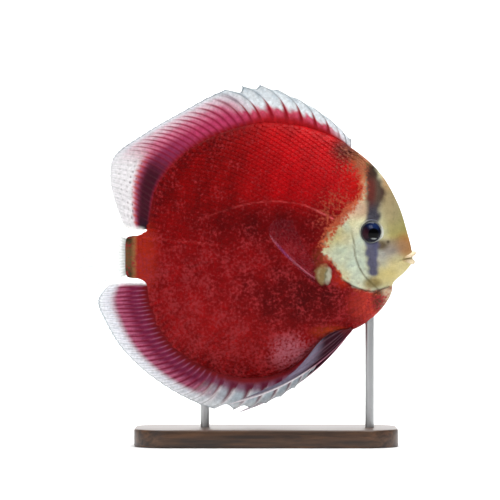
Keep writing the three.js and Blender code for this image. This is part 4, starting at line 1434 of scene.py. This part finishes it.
def steel_material():
    material, tree, shader = new_material("brushed stainless steel")
    place = node(tree, "TexCoord").outputs["Object"]
    lines = node(tree, "Mapping", {}, {"Scale": (1.0, 1.0, 0.04)}, {"Vector": place})
    brushing = node(tree, "TexNoise", {}, {"Scale": 1 / (0.25 * MM), "Detail": 2.0}, {"Vector": lines})
    rough = node(tree, "MapRange", {}, {"To Min": 0.22, "To Max": 0.42}, {"Value": brushing})
    connect(tree, shader, {"Base Color": rgba("#b9babb"), "Metallic": 1.0}, {"Roughness": rough})
    return material


# %% Stand
BOARD_CORNER, BOARD_EDGE, ROD_SUNK, ROD_PROUD = 16 * MM, 0.8 * MM, 0.5 * MM, 0.8 * MM
base_low, base_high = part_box("stand_base")
board = add_named("stand_board", bpy.ops.mesh.primitive_cube_add, size=1)
board_size = [base_high[i] - base_low[i] for i in range(3)]
board_middle = [(base_high[i] + base_low[i]) / 2 for i in range(3)]
corners = points_of(board) * np.array(board_size) + np.array(board_middle)
move_points(board, corners / MM)
rounding = board.modifiers.new("Corners", "BEVEL")
rounding.width, rounding.segments, rounding.limit_method = BOARD_CORNER, 16, "WEIGHT"
weights = board.data.attributes.new("bevel_weight_edge", "FLOAT", "EDGE")
for i, edge in enumerate(board.data.edges):
    a, b = (board.data.vertices[v].co for v in edge.vertices)
    weights.data[i].value = 1.0 if abs(a.z - b.z) > 1 * MM else 0.0
bpy.ops.object.modifier_apply(modifier=rounding.name)
softening = board.modifiers.new("Edges", "BEVEL")
softening.width, softening.segments = BOARD_EDGE, 4
softening.limit_method, softening.angle_limit = "ANGLE", math.radians(60)
bpy.ops.object.modifier_apply(modifier=softening.name)
bpy.ops.object.shade_smooth_by_angle(angle=math.radians(35))
finish_piece(board, "stand_base", wood_material(), "stand_base")

steel = steel_material()
for name in ("front", "rear"):
    low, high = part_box(f"stand_rod_{name}")
    radius = (high[0] - low[0]) / 2
    bottom, top = base_high[2] - ROD_SUNK, high[2] + ROD_PROUD
    rod = add_named(f"steel_rod_{name}", bpy.ops.mesh.primitive_cylinder_add,
                    vertices=48, radius=radius, depth=top - bottom,
                    location=((low[0] + high[0]) / 2, (low[1] + high[1]) / 2, (top + bottom) / 2))
    bpy.ops.object.transform_apply(location=True, rotation=True, scale=True)
    bpy.ops.object.shade_smooth_by_angle(angle=math.radians(40))
    finish_piece(rod, "stand_rod", steel, f"stand_rod_{name}")

# %% [markdown]
# The set is a pale sweep, a floor that curves up into a wall, so no horizon shows behind
# the fish. Large soft lamps stand in for a studio's light boxes.

# %% Sweep
sweep = add_named("sweep", bpy.ops.mesh.primitive_grid_add, x_subdivisions=2, y_subdivisions=120, size=2)
flat = points_of(sweep)
FLOOR_FRONT, FLOOR_RUN, SWEEP_RADIUS, SWEEP_LENGTH = -4.0, 5.9, 0.7, 9.2
run = (flat[:, 1] / 2 + 0.5) * SWEEP_LENGTH
bend = np.clip((run - FLOOR_RUN) / SWEEP_RADIUS, 0, math.pi / 2)
beyond = np.maximum(run - FLOOR_RUN - SWEEP_RADIUS * math.pi / 2, 0)
sweep_y = FLOOR_FRONT + np.minimum(run, FLOOR_RUN) + SWEEP_RADIUS * np.sin(bend)
sweep_z = SWEEP_RADIUS * (1 - np.cos(bend)) + beyond
move_points(sweep, np.stack([flat[:, 0] * 4.0, sweep_y, sweep_z], axis=1) / MM)
bpy.ops.object.shade_smooth()
paper, tree, shader = new_material("matt white backdrop paper")
connect(tree, shader, {"Base Color": rgba("#ebebeb"), "Roughness": 0.9})
sweep.data.materials.append(paper)
sweep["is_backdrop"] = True

# %% Lamps
def add_lamp(name, place, aim, size, power):
    start_clean()
    bpy.ops.object.light_add(type="AREA", location=place)
    lamp = bpy.context.object
    lamp.name = name
    lamp.data.shape = "SQUARE"
    lamp.data.size = size
    lamp.data.energy = power
    direction = np.array(aim) - np.array(place)
    yaw = math.atan2(direction[1], direction[0]) - math.pi / 2
    pitch = math.atan2(direction[2], math.hypot(direction[0], direction[1])) + math.pi / 2
    lamp.rotation_euler = (pitch, 0, yaw)
    print(name, power, "W, facing the place", aim)


FISH_MIDDLE = (0.004, 0, 0.09)
add_lamp("key_light", (0.45, -1.0, 0.95), FISH_MIDDLE, 0.6, 8)
add_lamp("fill_light", (-0.9, -0.9, 0.4), FISH_MIDDLE, 0.9, 1.9)
add_lamp("back_light", (0.1, 0.8, 0.9), FISH_MIDDLE, 0.8, 3.5)
add_lamp("floor_light", (0, 0.3, 1.3), (0, 1.25, 0.1), 1.2, 34)
add_lamp("wall_light", (0, 1.4, 1.3), (0, 2.35, 0.1), 1.2, 32)
world = bpy.data.worlds.new("studio")
bpy.context.scene.world = world
world.use_nodes = True
world.node_tree.nodes["Background"].inputs["Color"].default_value = rgba("#f6f7fa")
world.node_tree.nodes["Background"].inputs["Strength"].default_value = 0.22
bpy.context.scene.view_settings.view_transform = "Standard"

# %% [markdown]
# The photograph is a pure profile taken from far off. At 0.45 mm a pixel its frame is
# 225 mm wide, and a long lens at 1.6 m keeps the outline as flat as it is there.

# %% Camera
VIEW_WIDTH, VIEW_DISTANCE, SENSOR_MM = 0.225, 1.6, 36
VIEW_MIDDLE_X, VIEW_MIDDLE_Z = 0.0038, 0.08775
start_clean()
bpy.ops.object.camera_add(location=(VIEW_MIDDLE_X, -VIEW_DISTANCE, VIEW_MIDDLE_Z),
    rotation=(math.pi / 2, 0, 0))
camera = bpy.context.object
camera.data.sensor_width = SENSOR_MM
camera.data.lens = SENSOR_MM * VIEW_DISTANCE / VIEW_WIDTH
camera.data.clip_end = 50
bpy.context.scene.camera = camera
print("lens", camera.data.lens, "mm")

# %% [markdown]
# The last line writes down the box round every piece that is seen, the backdrop left out,
# in millimetres.

# %% Write the sizes
low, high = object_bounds()
print("visual box in mm:", [round(v / MM, 1) for v in (*low, *high)])
